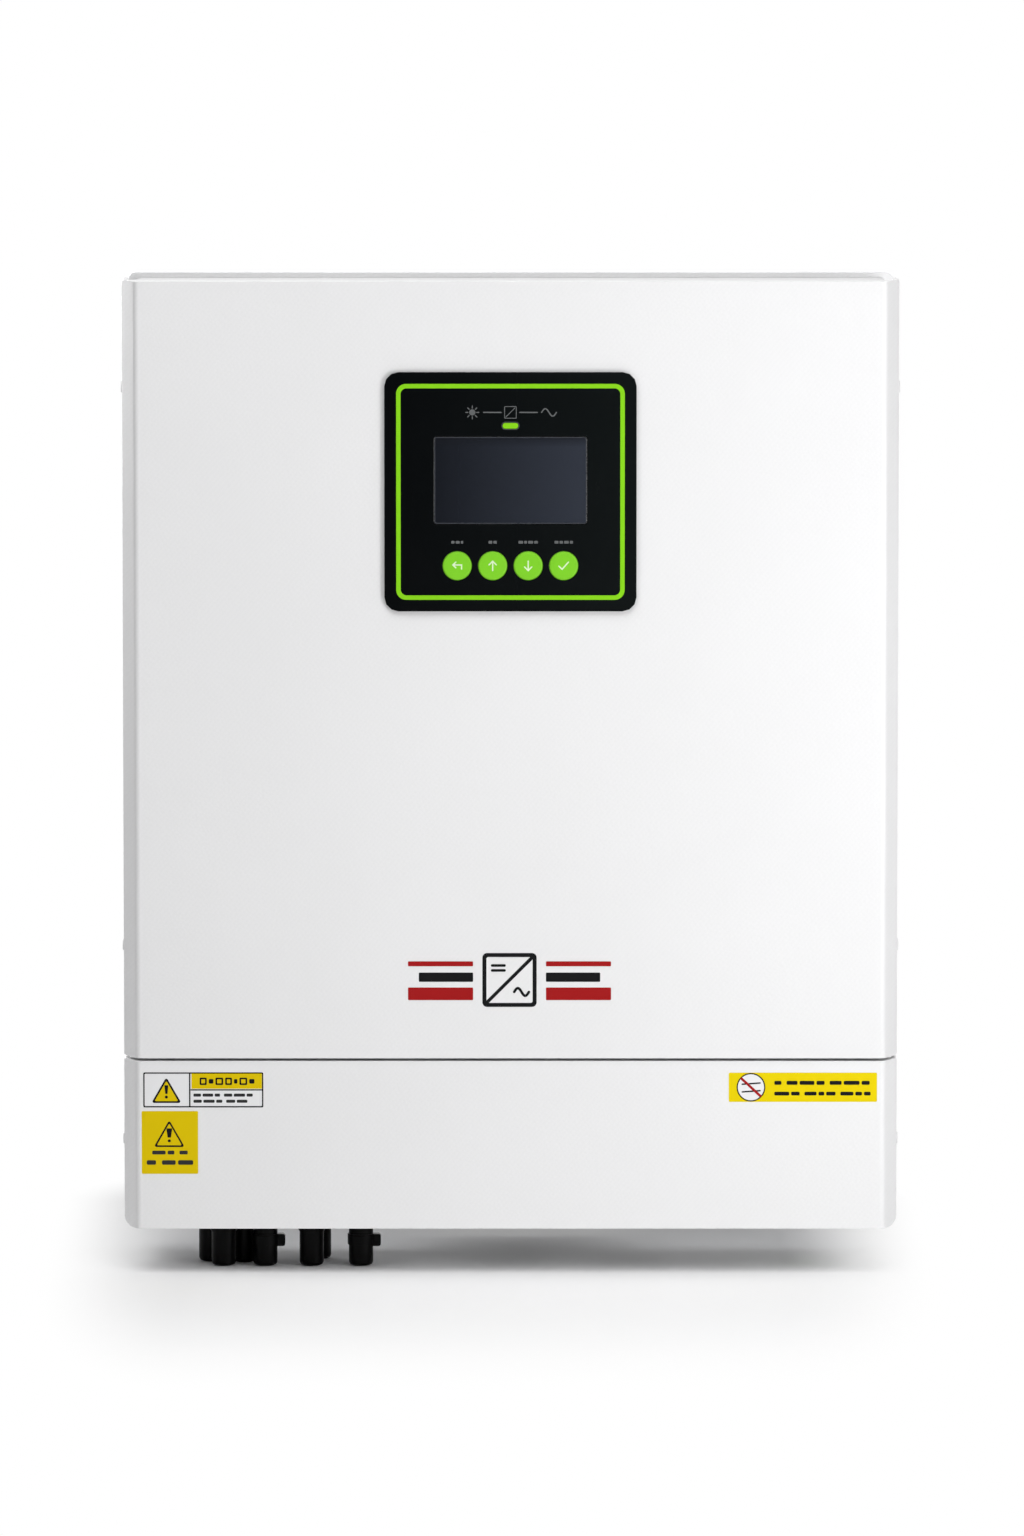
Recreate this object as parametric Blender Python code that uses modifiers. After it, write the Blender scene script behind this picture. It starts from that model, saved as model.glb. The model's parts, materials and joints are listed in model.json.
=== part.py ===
"""Wall-mounted string inverter, as an assembly of separate bodies.

Frame: metres, +Z up, +X to the right of someone facing the unit, +Y into the wall.
The origin is the centre of the wall bracket's back face, so the wall is the plane Y = 0.
"""

import math

import bmesh
import bpy
from mathutils import Matrix, Vector

# ---- driving dimensions -------------------------------------------------------------------
DEPTH = 0.167  # wall to the covers' front face
COVER_WIDTH = 0.500
COVER_TOP = 0.120  # above the wall bracket's centre
UPPER_COVER_HEIGHT = 0.502
LOWER_COVER_HEIGHT = 0.1092
COVER_SEAM = 0.0018
COVER_SHEET = 0.0012
BEVEL_WIDTH = 0.0088  # slanted band along each side of the covers
BEVEL_DEPTH = 0.019
BEVEL_BEND = 0.0043
SIDE_BEND = 0.002
FOLD_RADIUS = 0.0015
LOWER_CORNER_RADIUS = 0.006
COVER_SIDE_REAR = -0.125  # rear edge of the covers' side walls
COVER_RETURN_REAR = -0.1476  # rear edge of their top and bottom returns

CHASSIS_HALF_WIDTH = 0.2445
CHASSIS_SHEET = 0.0018
CHASSIS_FRONT = -0.147
CHASSIS_BACK = -0.0723
CHASSIS_CORNER = 0.005
LIP_FRONT = -0.1612
LIP_HALF_WIDTH = 0.236
LIP_SHEET = 0.0015

SINK_HALF_WIDTH = 0.2485
SINK_FRONT = -0.072
SINK_PLATE = 0.008
FIN_REAR = -0.018
FIN_PITCH = 0.011
FIN_THICKNESS = 0.0026
FIN_COUNT = 39

PANEL_CENTRE_Z = -0.0150
PANEL_WIDTH = 0.162
PANEL_HEIGHT = 0.154
PANEL_CORNER = 0.009
PANEL_FRONT = -0.1698
WINDOW_WIDTH = 0.0985
WINDOW_HEIGHT = 0.0566
WINDOW_RISE = 0.0074  # window's centre above the panel's centre
BUTTON_RADIUS = 0.0093
BUTTON_PITCH = 0.0228
BUTTON_DROP = 0.0476  # buttons' row below the panel's centre

GAP = 0.0003  # between pieces that rest on each other
RUNNING = 0.00008  # radial clearance of a turning pin in its hole
CUT = 0.002  # how far a cutter runs past the wall it cuts

# ---- derived places -----------------------------------------------------------------------
FRONT = -DEPTH
HALF_WIDTH = COVER_WIDTH / 2
UPPER_BOTTOM = COVER_TOP - UPPER_COVER_HEIGHT
LOWER_TOP = UPPER_BOTTOM - COVER_SEAM
LOWER_BOTTOM = LOWER_TOP - LOWER_COVER_HEIGHT
CHASSIS_TOP = COVER_TOP - 0.0032
CHASSIS_BOTTOM = LOWER_BOTTOM + 0.003
INNER_BACK = CHASSIS_BACK - CHASSIS_SHEET  # front face of the chassis's back wall
SINK_REAR = SINK_FRONT + SINK_PLATE
WINDOW_Z = PANEL_CENTRE_Z + WINDOW_RISE
BUTTON_Z = PANEL_CENTRE_Z - BUTTON_DROP
UPPER_LIP_Z = (UPPER_BOTTOM + 0.008, COVER_TOP - 0.008)
LOWER_LIP_Z = (LOWER_BOTTOM + 0.010, LOWER_TOP - 0.0082)

# Connectors: (x, y, kind), left to right as seen from the front; the first row is nearest it.
CONNECTOR_ROW = -0.122
CONNECTORS = (
    (-0.1952, CONNECTOR_ROW + 0.019, "plain"),
    (-0.1865, CONNECTOR_ROW, "plain"),
    (-0.1735, CONNECTOR_ROW + 0.017, "plain"),
    (-0.1594, CONNECTOR_ROW, "latched"),
    (-0.1293, CONNECTOR_ROW, "plain"),
    (-0.1250, CONNECTOR_ROW + 0.031, "plain"),
    (-0.0972, CONNECTOR_ROW, "latched"),
)
SOCKET_RADIUS = 0.0062
CAP_RADIUS = 0.0079
CAP_BOTTOM = LOWER_BOTTOM - 0.030

SCREW_Y = -0.131
SCREW_SPOTS = (  # side, height
    (-1, COVER_TOP - 0.070),
    (-1, UPPER_BOTTOM + 0.070),
    (1, COVER_TOP - 0.070),
    (1, UPPER_BOTTOM + 0.070),
    (-1, (LOWER_TOP + LOWER_BOTTOM) / 2),
    (1, (LOWER_TOP + LOWER_BOTTOM) / 2),
)
SCREW_RADIUS = 0.002
SCREW_HEAD = 0.0009
BOSS_RADIUS = 0.0045

FAN_SIZE = 0.060
FAN_DEPTH = 0.025
FAN_SHAFT = 0.0022
FAN_X = (-0.110, 0.110)
FAN_Y = SINK_REAR + 0.0021 + FAN_SIZE / 2
TRAY_TOP = -0.3017
TRAY_SHEET = 0.0015
FAN_TOP = TRAY_TOP - TRAY_SHEET - GAP

ROCKER_X = 0.200
ROCKER_Y = -0.110
ROCKER_PIN = 0.0012
GROMMETS = (("battery_grommet", 0.000), ("ac_grommet", 0.075))
GROMMET_Y = -0.108
GROMMET_RADIUS = 0.020
GROMMET_BORE = 0.0130
PORTS_X = 0.141
PORTS_Y = -0.110


# ---- scene and materials --------------------------------------------------------------------
def clear_scene():
    for obj in list(bpy.data.objects):
        bpy.data.objects.remove(obj, do_unlink=True)


def new_collection(name):
    collection = bpy.data.collections.new(name)
    bpy.context.scene.collection.children.link(collection)
    return collection


def new_material(name, colour, roughness, metallic=0.0):
    material = bpy.data.materials.new(name)
    material.use_nodes = True
    shader = material.node_tree.nodes["Principled BSDF"]
    shader.inputs["Base Color"].default_value = (*colour, 1.0)
    shader.inputs["Roughness"].default_value = roughness
    shader.inputs["Metallic"].default_value = metallic
    return material


clear_scene()
PARTS = new_collection("string_inverter")
CUTTERS = new_collection("cutters")
WHITE_PAINT = new_material("white_powder_coat", (0.83, 0.83, 0.84), 0.45)
ALUMINIUM = new_material("cast_aluminium", (0.58, 0.59, 0.61), 0.42, 0.9)
STEEL = new_material("zinc_plated_steel", (0.66, 0.66, 0.64), 0.35, 1.0)
BLACK_GLOSS = new_material("panel_black", (0.008, 0.010, 0.012), 0.22)
BLACK_PLASTIC = new_material("black_plastic", (0.012, 0.012, 0.012), 0.45)
GREEN_PLASTIC = new_material("green_button", (0.22, 0.62, 0.02), 0.40)
LCD_GLASS = new_material("lcd_glass", (0.020, 0.023, 0.034), 0.12)
BOARD_GREEN = new_material("circuit_board", (0.02, 0.13, 0.05), 0.50)
RUBBER = new_material("rubber", (0.03, 0.03, 0.03), 0.80)
CAPACITOR_SLEEVE = new_material("capacitor_sleeve", (0.02, 0.03, 0.06), 0.35)
TERMINAL_PLASTIC = new_material("terminal_plastic", (0.04, 0.22, 0.08), 0.50)
WHITE_PLASTIC = new_material("module_plastic", (0.70, 0.68, 0.62), 0.50)


# ---- shape helpers ----------------------------------------------------------------------------
def place(obj, material, cutter):
    """Puts an object among the parts, or hides it among the cutters."""
    for collection in list(obj.users_collection):
        collection.objects.unlink(obj)
    (CUTTERS if cutter else PARTS).objects.link(obj)
    if cutter:
        obj.hide_render = True
        obj.display_type = "WIRE"
    if material:
        obj.data.materials.append(material)
    return obj


def box(name, low, high, material=None, corner=0.0, along="Y", cutter=False):
    """A block between two corners, its four edges along one axis rounded by corner."""
    low, high = Vector(low), Vector(high)
    bpy.ops.mesh.primitive_cube_add(size=1.0, location=(low + high) / 2)
    obj = bpy.context.object
    obj.name = name
    obj.data.transform(Matrix.Diagonal((*(high - low), 1.0)))
    if corner:
        axis = "XYZ".index(along)
        edit = bmesh.new()
        edit.from_mesh(obj.data)
        edges = [
            edge for edge in edit.edges
            if abs((edge.verts[0].co - edge.verts[1].co)[axis]) > 1e-6
        ]
        bmesh.ops.bevel(edit, geom=edges, offset=corner, segments=3, profile=0.5, affect="EDGES")
        edit.to_mesh(obj.data)
        edit.free()
    return place(obj, material, cutter)


TURN = {  # turns an axis-Z shape so that it runs along another axis
    "X": Matrix(((0, 0, 1), (1, 0, 0), (0, 1, 0))).to_euler(),
    "Y": Matrix(((1, 0, 0), (0, 0, -1), (0, 1, 0))).to_euler(),
    "Z": Matrix.Identity(3).to_euler(),
}


def cylinder(name, centre, radius, length, material=None, along="Z", sides=20, cutter=False):
    bpy.ops.mesh.primitive_cylinder_add(
        vertices=sides, radius=radius, depth=length, location=centre, rotation=TURN[along]
    )
    obj = bpy.context.object
    obj.name = name
    obj.data.shade_smooth()
    obj.data.set_sharp_from_angle(angle=math.radians(40))
    return place(obj, material, cutter)


def rounded_outline(corners, step=math.radians(22.5)):
    """The points of a closed outline from its corners (u, v, radius), round ones as arcs."""
    points = []
    for i, (u, v, radius) in enumerate(corners):
        corner = Vector((u, v))
        if not radius:
            points.append(corner)
            continue
        to_last = (Vector(corners[i - 1][:2]) - corner).normalized()
        to_next = (Vector(corners[(i + 1) % len(corners)][:2]) - corner).normalized()
        opening = to_last.angle(to_next)
        centre = corner + (to_last + to_next).normalized() * radius / math.sin(opening / 2)
        start = corner + to_last * radius / math.tan(opening / 2) - centre
        sweep = math.pi - opening
        if to_last.cross(to_next) > 0:
            sweep = -sweep
        count = max(1, math.ceil(abs(sweep) / step))
        for k in range(count + 1):
            points.append(centre + Matrix.Rotation(sweep * k / count, 2) @ start)
    return points


def extrusion(name, outline, low, high, material=None, along="Z", cutter=False):
    """A flat outline extruded from low to high. Its u, v are X, Y along Z; X, Z along Y; Y, Z along X."""
    curve = bpy.data.curves.new(name, "CURVE")
    curve.dimensions = "2D"
    curve.fill_mode = "BOTH"
    curve.extrude = (high - low) / 2
    spline = curve.splines.new("POLY")
    spline.points.add(len(outline) - 1)
    for point, (u, v) in zip(spline.points, outline):
        point.co = (u, v, 0.0, 1.0)
    spline.use_cyclic_u = True
    flat = bpy.data.objects.new(name + "_outline", curve)
    bpy.context.scene.collection.objects.link(flat)
    flat.rotation_euler = TURN[along]
    flat.location["XYZ".index(along)] = (low + high) / 2
    bpy.context.view_layer.update()
    graph = bpy.context.evaluated_depsgraph_get()
    mesh = bpy.data.meshes.new_from_object(flat.evaluated_get(graph))
    edit = bmesh.new()
    edit.from_mesh(mesh)
    bmesh.ops.remove_doubles(edit, verts=edit.verts, dist=1e-6)
    bmesh.ops.recalc_face_normals(edit, faces=edit.faces)
    edit.to_mesh(mesh)
    edit.free()
    obj = bpy.data.objects.new(name, mesh)
    bpy.context.scene.collection.objects.link(obj)
    obj.matrix_world = flat.matrix_world
    bpy.data.objects.remove(flat)
    return place(obj, material, cutter)


def turned(name, profile, centre, material=None, sides=20, cutter=False):
    """A shape turned about Z through centre. The profile's (radius, z) run down its outer side."""
    mesh = bpy.data.meshes.new(name)
    count = len(profile)
    closed = profile[0][0] > 0
    edges = [(i, i + 1) for i in range(count - 1)] + ([(count - 1, 0)] if closed else [])
    mesh.from_pydata([(r, 0.0, z) for r, z in profile], edges, [])
    obj = bpy.data.objects.new(name, mesh)
    bpy.context.scene.collection.objects.link(obj)
    obj.location = centre
    screw = obj.modifiers.new("turn", "SCREW")
    screw.steps = screw.render_steps = sides
    screw.use_merge_vertices = True
    screw.merge_threshold = 1e-5
    screw.use_smooth_shade = True
    return place(obj, material, cutter)


def combine(target, others, operation):
    """Adds one Boolean per other object: DIFFERENCE cuts it out, UNION joins it on."""
    for other in others:
        modifier = target.modifiers.new(operation.lower(), "BOOLEAN")
        modifier.operation = operation
        modifier.object = other
    return target


def cut(target, *others):
    return combine(target, others, "DIFFERENCE")


def join(target, *others):
    return combine(target, others, "UNION")


def frame_solid(name, half_width, z_range, wall, y_range, material=None, cutter=False):
    """A rectangular ring standing along Y, wall thick, its outside half_width each side of X = 0."""
    low_z, high_z = z_range
    ring = box(name, (-half_width, y_range[0], low_z), (half_width, y_range[1], high_z),
               material, cutter=cutter)
    hole = box(name + "_hole", (wall - half_width, y_range[0] - CUT, low_z + wall),
               (half_width - wall, y_range[1] + CUT, high_z - wall), cutter=True)
    return cut(ring, hole)


# ---- casing -------------------------------------------------------------------------------------
def cover_plan(inset, rear):
    """Plan outline of a cover, seen from above: flat front, two slanted bands, two side walls."""
    tilt = math.atan2(BEVEL_DEPTH, BEVEL_WIDTH)
    front_x = HALF_WIDTH - BEVEL_WIDTH - inset * math.tan(tilt / 2)
    side_x = HALF_WIDTH - inset
    side_y = FRONT + BEVEL_DEPTH + inset * math.tan((math.pi / 2 - tilt) / 2)
    front_y = FRONT + inset
    return rounded_outline((
        (-side_x, rear, 0),
        (-side_x, side_y, SIDE_BEND - inset),
        (-front_x, front_y, BEVEL_BEND - inset),
        (front_x, front_y, BEVEL_BEND - inset),
        (side_x, side_y, SIDE_BEND - inset),
        (side_x, rear, 0),
    ))


def cover_elevation(inset, low_z, high_z, low_radius, high_radius):
    """Front outline of a cover, with its lower and upper corner radii."""
    x = HALF_WIDTH - inset
    low, high = low_z + inset, high_z - inset
    low_radius, high_radius = low_radius - inset, high_radius - inset
    return rounded_outline(
        ((-x, low, low_radius), (x, low, low_radius), (x, high, high_radius), (-x, high, high_radius))
    )


def cover_pan(name, low_z, high_z, low_radius):
    """A tray folded from sheet, open to the rear, with short returns at its top and bottom."""
    rear = COVER_SIDE_REAR + 0.010
    shell = extrusion(name, cover_plan(0, rear), low_z, high_z, WHITE_PAINT)
    outside = extrusion(name + "_outside", cover_elevation(0, low_z, high_z, low_radius, FOLD_RADIUS),
                        FRONT - CUT, rear + CUT, along="Y", cutter=True)
    combine(shell, [outside], "INTERSECT")
    fold = shell.modifiers.new("fold", "BEVEL")
    fold.limit_method = "ANGLE"
    fold.angle_limit = math.radians(50)
    fold.width = FOLD_RADIUS * 0.8
    fold.segments = 2
    inside = extrusion(name + "_inside", cover_plan(COVER_SHEET, rear + CUT), low_z, high_z, cutter=True)
    limit = extrusion(name + "_limit",
                      cover_elevation(COVER_SHEET, low_z, high_z, low_radius, FOLD_RADIUS),
                      FRONT - CUT, rear + 2 * CUT, along="Y", cutter=True)
    combine(inside, [limit], "INTERSECT")
    trim = box(name + "_trim", (-HALF_WIDTH - CUT, COVER_SIDE_REAR, low_z - CUT),
               (HALF_WIDTH + CUT, rear + CUT, high_z + CUT), cutter=True)
    returns = []
    for z, radius in ((low_z, max(low_radius, SIDE_BEND)), (high_z, SIDE_BEND)):
        reach = HALF_WIDTH - radius - COVER_SHEET
        returns.append(box(f"{name}_return", (-reach, COVER_RETURN_REAR, z - 2 * COVER_SHEET),
                           (reach, rear + CUT, z + 2 * COVER_SHEET), cutter=True))
    cut(shell, inside, trim, *returns)
    for k, (side, height) in enumerate(SCREW_SPOTS):
        if low_z < height < high_z:
            cut(shell, screw_slot(f"{name}_slot_{k}", side, height))
    return shell


def screw_slot(name, side, height):
    """A slot open to the cover's rear edge, so that the cover draws forward off its loosened screws."""
    half = SCREW_RADIUS + GAP
    low_x, high_x = sorted((side * (HALF_WIDTH - 2 * COVER_SHEET), side * (HALF_WIDTH + CUT)))
    return box(name, (low_x, SCREW_Y - half, height - half), (high_x, COVER_SIDE_REAR + CUT, height + half),
               cutter=True)


def make_front_cover():
    cover = cover_pan("front_cover", UPPER_BOTTOM, COVER_TOP, FOLD_RADIUS)
    opening = box("panel_opening", (-0.0745, FRONT - CUT, PANEL_CENTRE_Z - 0.0700),
                  (0.0745, FRONT + 2 * CUT, PANEL_CENTRE_Z + 0.0700), corner=0.004, cutter=True)
    return cut(cover, opening)


def make_wiring_cover():
    return cover_pan("wiring_cover", LOWER_BOTTOM, LOWER_TOP, LOWER_CORNER_RADIUS)


def make_chassis():
    """Folded tub: two compartments, each with a rim lip that presses into its cover's gasket."""
    shell = box("chassis", (-CHASSIS_HALF_WIDTH, CHASSIS_FRONT, CHASSIS_BOTTOM),
                (CHASSIS_HALF_WIDTH, CHASSIS_BACK, CHASSIS_TOP), WHITE_PAINT, corner=CHASSIS_CORNER)
    divider = (UPPER_BOTTOM + LOWER_TOP) / 2
    inner = CHASSIS_HALF_WIDTH - CHASSIS_SHEET
    half_sheet = CHASSIS_SHEET / 2
    rooms = (("upper", divider + half_sheet, CHASSIS_TOP - CHASSIS_SHEET, UPPER_LIP_Z),
             ("lower", CHASSIS_BOTTOM + CHASSIS_SHEET, divider - half_sheet, LOWER_LIP_Z))
    for name, low_z, high_z, lip in rooms:
        rim = box(f"{name}_rim", (-LIP_HALF_WIDTH, LIP_FRONT, lip[0]),
                  (LIP_HALF_WIDTH, CHASSIS_FRONT + CHASSIS_SHEET / 2, lip[1]), cutter=True)
        join(shell, rim)
    for name, low_z, high_z, lip in rooms:
        room = box(f"{name}_room", (-inner, CHASSIS_FRONT + CHASSIS_SHEET, low_z),
                   (inner, INNER_BACK, high_z), cutter=True)
        mouth = box(f"{name}_mouth", (LIP_SHEET - LIP_HALF_WIDTH, LIP_FRONT - CUT, lip[0] + LIP_SHEET),
                    (LIP_HALF_WIDTH - LIP_SHEET, CHASSIS_FRONT + 2 * CUT, lip[1] - LIP_SHEET), cutter=True)
        cut(shell, room, mouth)
    for k, (side, height) in enumerate(SCREW_SPOTS):
        join(shell, cylinder(f"boss_{k}", (side * (CHASSIS_HALF_WIDTH + 0.0017), SCREW_Y, height),
                             BOSS_RADIUS, 0.0046, along="X", sides=16, cutter=True))
    for k, (side, height) in enumerate(SCREW_SPOTS):
        cut(shell, cylinder(f"thread_{k}", (side * CHASSIS_HALF_WIDTH, SCREW_Y, height),
                            SCREW_RADIUS + GAP, 0.030, along="X", sides=12, cutter=True))
    cut(shell, box("module_window", (-0.070, INNER_BACK - CUT, -0.075),
                   (0.070, CHASSIS_BACK + CUT, 0.005), cutter=True))
    bottom = CHASSIS_BOTTOM + CHASSIS_SHEET / 2
    for k, (x, y, kind) in enumerate(CONNECTORS):
        cut(shell, cylinder(f"socket_hole_{k}", (x, y, bottom), SOCKET_RADIUS + GAP, 0.006,
                            sides=20, cutter=True))
    for name, x in GROMMETS:
        cut(shell, cylinder(name + "_hole", (x, GROMMET_Y, bottom), GROMMET_RADIUS - 0.003 + GAP,
                            0.006, sides=24, cutter=True))
    cut(shell, box("rocker_hole", (ROCKER_X - 0.0113, ROCKER_Y - 0.0068, bottom - CUT),
                   (ROCKER_X + 0.0113, ROCKER_Y + 0.0068, bottom + CUT), cutter=True))
    cut(shell, box("ports_hole", (PORTS_X - 0.0285, PORTS_Y - 0.0105, bottom - CUT),
                   (PORTS_X + 0.0285, PORTS_Y + 0.0105, bottom + CUT), cutter=True))
    return shell


def make_gasket(name, lip):
    """Foam ring stuck inside a cover, facing the chassis's lip."""
    margin = 0.0022
    return frame_solid(name, LIP_HALF_WIDTH + margin, (lip[0] - margin, lip[1] + margin), 0.0060,
                       (FRONT + COVER_SHEET + GAP, LIP_FRONT - GAP), RUBBER)


def make_screw(name, side, height):
    """Low-head machine screw that clamps a cover's side wall to the chassis's boss."""
    under_head = HALF_WIDTH + GAP
    sketch = ((0.0, SCREW_HEAD), (0.0034, SCREW_HEAD), (0.0040, SCREW_HEAD / 2), (0.0040, 0.0),
              (SCREW_RADIUS, 0.0), (SCREW_RADIUS, -0.0090), (0.0014, -0.0100), (0.0, -0.0100))
    screw = turned(name, sketch, (side * under_head, SCREW_Y, height), STEEL, sides=14)
    screw.rotation_euler = (0.0, side * math.pi / 2, 0.0)
    reach = side * (under_head + SCREW_HEAD)
    for k, (wide, tall) in enumerate(((0.0040, 0.0009), (0.0009, 0.0040))):
        low_x, high_x = sorted((reach - side * 0.0006, reach + side * CUT))
        cut(screw, box(f"{name}_recess_{k}", (low_x, SCREW_Y - wide / 2, height - tall / 2),
                       (high_x, SCREW_Y + wide / 2, height + tall / 2), cutter=True))
    return screw


# ---- rear: heat sink, fans and wall fixing ----------------------------------------------------------
def make_heatsink():
    """Base plate that closes the casing's back, with upright fins between the fans and the top."""
    plate = box("heatsink", (-SINK_HALF_WIDTH, SINK_FRONT, CHASSIS_BOTTOM),
                (SINK_HALF_WIDTH, SINK_REAR, COVER_TOP), ALUMINIUM, corner=CHASSIS_CORNER)
    root = SINK_REAR - SINK_PLATE / 3
    half_span = FIN_PITCH * (FIN_COUNT - 1) / 2
    comb = [Vector((half_span + FIN_THICKNESS / 2, root)), Vector((-half_span - FIN_THICKNESS / 2, root))]
    for k in range(FIN_COUNT):
        left = -half_span + k * FIN_PITCH - FIN_THICKNESS / 2
        right = left + FIN_THICKNESS
        if k:
            comb.append(Vector((left, SINK_REAR + 0.001)))
        comb += [Vector((left, FIN_REAR)), Vector((right, FIN_REAR))]
        if k < FIN_COUNT - 1:
            comb.append(Vector((right, SINK_REAR + 0.001)))
    fins = extrusion("fins", comb, TRAY_TOP + 0.016, COVER_TOP - 0.020, cutter=True)
    return join(plate, fins)


def make_wall_bracket():
    """Rail screwed to the wall, its top edge folded into a hook."""
    back, sheet = 0.0, 0.0025
    hook_y, hook_top, shelf, foot = -0.0133, 0.0537, 0.035, -0.035
    profile = ((back, foot), (back, shelf), (hook_y + sheet, shelf), (hook_y + sheet, hook_top),
               (hook_y, hook_top), (hook_y, shelf - sheet), (back - sheet, shelf - sheet),
               (back - sheet, foot))
    rail = extrusion("wall_bracket", profile, -0.160, 0.160, STEEL, along="X")
    for k, x in enumerate((-0.125, -0.050, 0.050, 0.125)):
        cut(rail, cylinder(f"wall_hole_{k}", (x, 0.0, 0.0), 0.0045, 0.012, along="Y", sides=16, cutter=True))
    return rail


def make_hanger_rail():
    """Hook screwed to the fins; it drops over the wall bracket's hook."""
    front, sheet = FIN_REAR + GAP, 0.002
    lip_rear, top, lip_low, plate_low = -0.0065, 0.056, 0.042, 0.016
    profile = ((front, plate_low), (front, top), (lip_rear, top), (lip_rear, lip_low),
               (lip_rear - sheet, lip_low), (lip_rear - sheet, top - sheet),
               (front + sheet, top - sheet), (front + sheet, plate_low))
    return extrusion("hanger_rail", profile, -0.140, 0.140, STEEL, along="X")


def make_lower_bracket():
    """Foot that carries the unit's lower edge back to the wall, with two screw holes."""
    front, sheet = SINK_REAR + GAP, 0.002
    wall, step, top, foot = 0.0, -0.470, -0.440, -0.5000
    profile = ((front, step), (front, top), (front + sheet, top), (front + sheet, step + sheet),
               (wall, step + sheet), (wall, foot), (wall - sheet, foot), (wall - sheet, step))
    plate = extrusion("lower_bracket", profile, -0.060, 0.060, STEEL, along="X")
    for k, x in enumerate((-0.045, 0.045)):
        cut(plate, cylinder(f"foot_hole_{k}", (x, 0.0, -0.486), 0.0035, 0.012, along="Y", sides=16,
                            cutter=True))
    return plate


def make_fan_tray():
    """Shelf under the fins, with a round outlet over each fan."""
    front, flange_top = SINK_REAR + GAP, TRAY_TOP + 0.013
    rear = FAN_Y + FAN_SIZE / 2
    profile = ((front, TRAY_TOP - TRAY_SHEET), (front, flange_top), (front + TRAY_SHEET, flange_top),
               (front + TRAY_SHEET, TRAY_TOP), (rear, TRAY_TOP), (rear, TRAY_TOP - TRAY_SHEET))
    tray = extrusion("fan_tray", profile, -0.200, 0.200, STEEL, along="X")
    for k, x in enumerate(FAN_X):
        cut(tray, cylinder(f"tray_hole_{k}", (x, FAN_Y, TRAY_TOP), 0.0285, 0.010, sides=28, cutter=True))
    return tray


def make_fan_frame(name, x):
    """Square axial-fan housing with four struts that carry the motor's shaft."""
    half = FAN_SIZE / 2
    bottom = FAN_TOP - FAN_DEPTH
    frame = box(name, (x - half, FAN_Y - half, bottom), (x + half, FAN_Y + half, FAN_TOP),
                BLACK_PLASTIC, corner=0.003, along="Z")
    middle = (bottom + FAN_TOP) / 2
    cut(frame, cylinder(name + "_bore", (x, FAN_Y, middle), 0.0286, FAN_DEPTH + 2 * CUT, sides=28,
                        cutter=True))
    for k, (long_x, long_y) in enumerate(((0.0292, 0.0018), (0.0018, 0.0292))):
        join(frame, box(f"{name}_strut_{k}", (x - long_x, FAN_Y - long_y, bottom + 0.0003),
                        (x + long_x, FAN_Y + long_y, bottom + 0.0028), cutter=True))
    join(frame, cylinder(name + "_seat", (x, FAN_Y, bottom + 0.0018), 0.0125, 0.0032, sides=20, cutter=True))
    join(frame, cylinder(name + "_shaft", (x, FAN_Y, bottom + 0.0082), FAN_SHAFT, 0.0130, sides=20,
                         cutter=True))
    for k, (dx, dy) in enumerate(((-1, -1), (-1, 1), (1, -1), (1, 1))):
        cut(frame, cylinder(f"{name}_hole_{k}", (x + dx * 0.025, FAN_Y + dy * 0.025, middle), 0.0019,
                            FAN_DEPTH + 2 * CUT, sides=8, cutter=True))
    return frame


def make_fan_rotor(name, x):
    """Hub and seven raked blades, turning on the fan frame's shaft."""
    bottom = FAN_TOP - FAN_DEPTH
    low, high = bottom + 0.0042, FAN_TOP - 0.0015
    hub = cylinder(name, (x, FAN_Y, (low + high) / 2), 0.0125, high - low, BLACK_PLASTIC, sides=21)
    blades = 7
    rake = math.radians(38)
    for k in range(blades):
        blade = box(f"{name}_blade_{k}", (0.0110, -0.0009, -0.0085), (0.0268, 0.0009, 0.0085), cutter=True)
        spin = Matrix.Rotation(2 * math.pi * k / blades, 4, "Z")
        blade.data.transform(Matrix.Translation(blade.location))
        blade.matrix_world = (Matrix.Translation((x, FAN_Y, (low + high) / 2)) @ spin
                              @ Matrix.Rotation(rake, 4, "X"))
        join(hub, blade)
    cut(hub, cylinder(name + "_bearing", (x, FAN_Y, low), FAN_SHAFT + RUNNING, 0.0240, sides=20, cutter=True))
    return hub


# ---- display panel --------------------------------------------------------------------------------
def button_x(index):
    return (index - 1.5) * BUTTON_PITCH


def make_bezel():
    """Black moulding over the cover's cut-out, with a frame that reaches inside it."""
    half_w, half_h = PANEL_WIDTH / 2, PANEL_HEIGHT / 2
    back = FRONT - GAP
    bezel = box("display_bezel", (-half_w, PANEL_FRONT, PANEL_CENTRE_Z - half_h),
                (half_w, back, PANEL_CENTRE_Z + half_h), BLACK_GLOSS, corner=PANEL_CORNER)
    frame_rear, wall, frame_x, frame_z = -0.156, 0.002, 0.0735, 0.0690
    skirt = box("bezel_skirt", (-frame_x, back - 0.001, PANEL_CENTRE_Z - frame_z),
                (frame_x, frame_rear, PANEL_CENTRE_Z + frame_z), corner=0.003, cutter=True)
    hollow = box("bezel_hollow", (wall - frame_x, back, PANEL_CENTRE_Z - frame_z + wall),
                 (frame_x - wall, frame_rear + CUT, PANEL_CENTRE_Z + frame_z - wall), cutter=True)
    window = box("bezel_window", (-WINDOW_WIDTH / 2, PANEL_FRONT - CUT, WINDOW_Z - WINDOW_HEIGHT / 2),
                 (WINDOW_WIDTH / 2, back + CUT, WINDOW_Z + WINDOW_HEIGHT / 2), corner=0.002, cutter=True)
    join(bezel, skirt)
    cut(bezel, hollow, window)
    for k in range(4):
        cut(bezel, cylinder(f"button_hole_{k}", (button_x(k), FRONT, BUTTON_Z), BUTTON_RADIUS + GAP, 0.012,
                            along="Y", sides=32, cutter=True))
    return bezel


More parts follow.
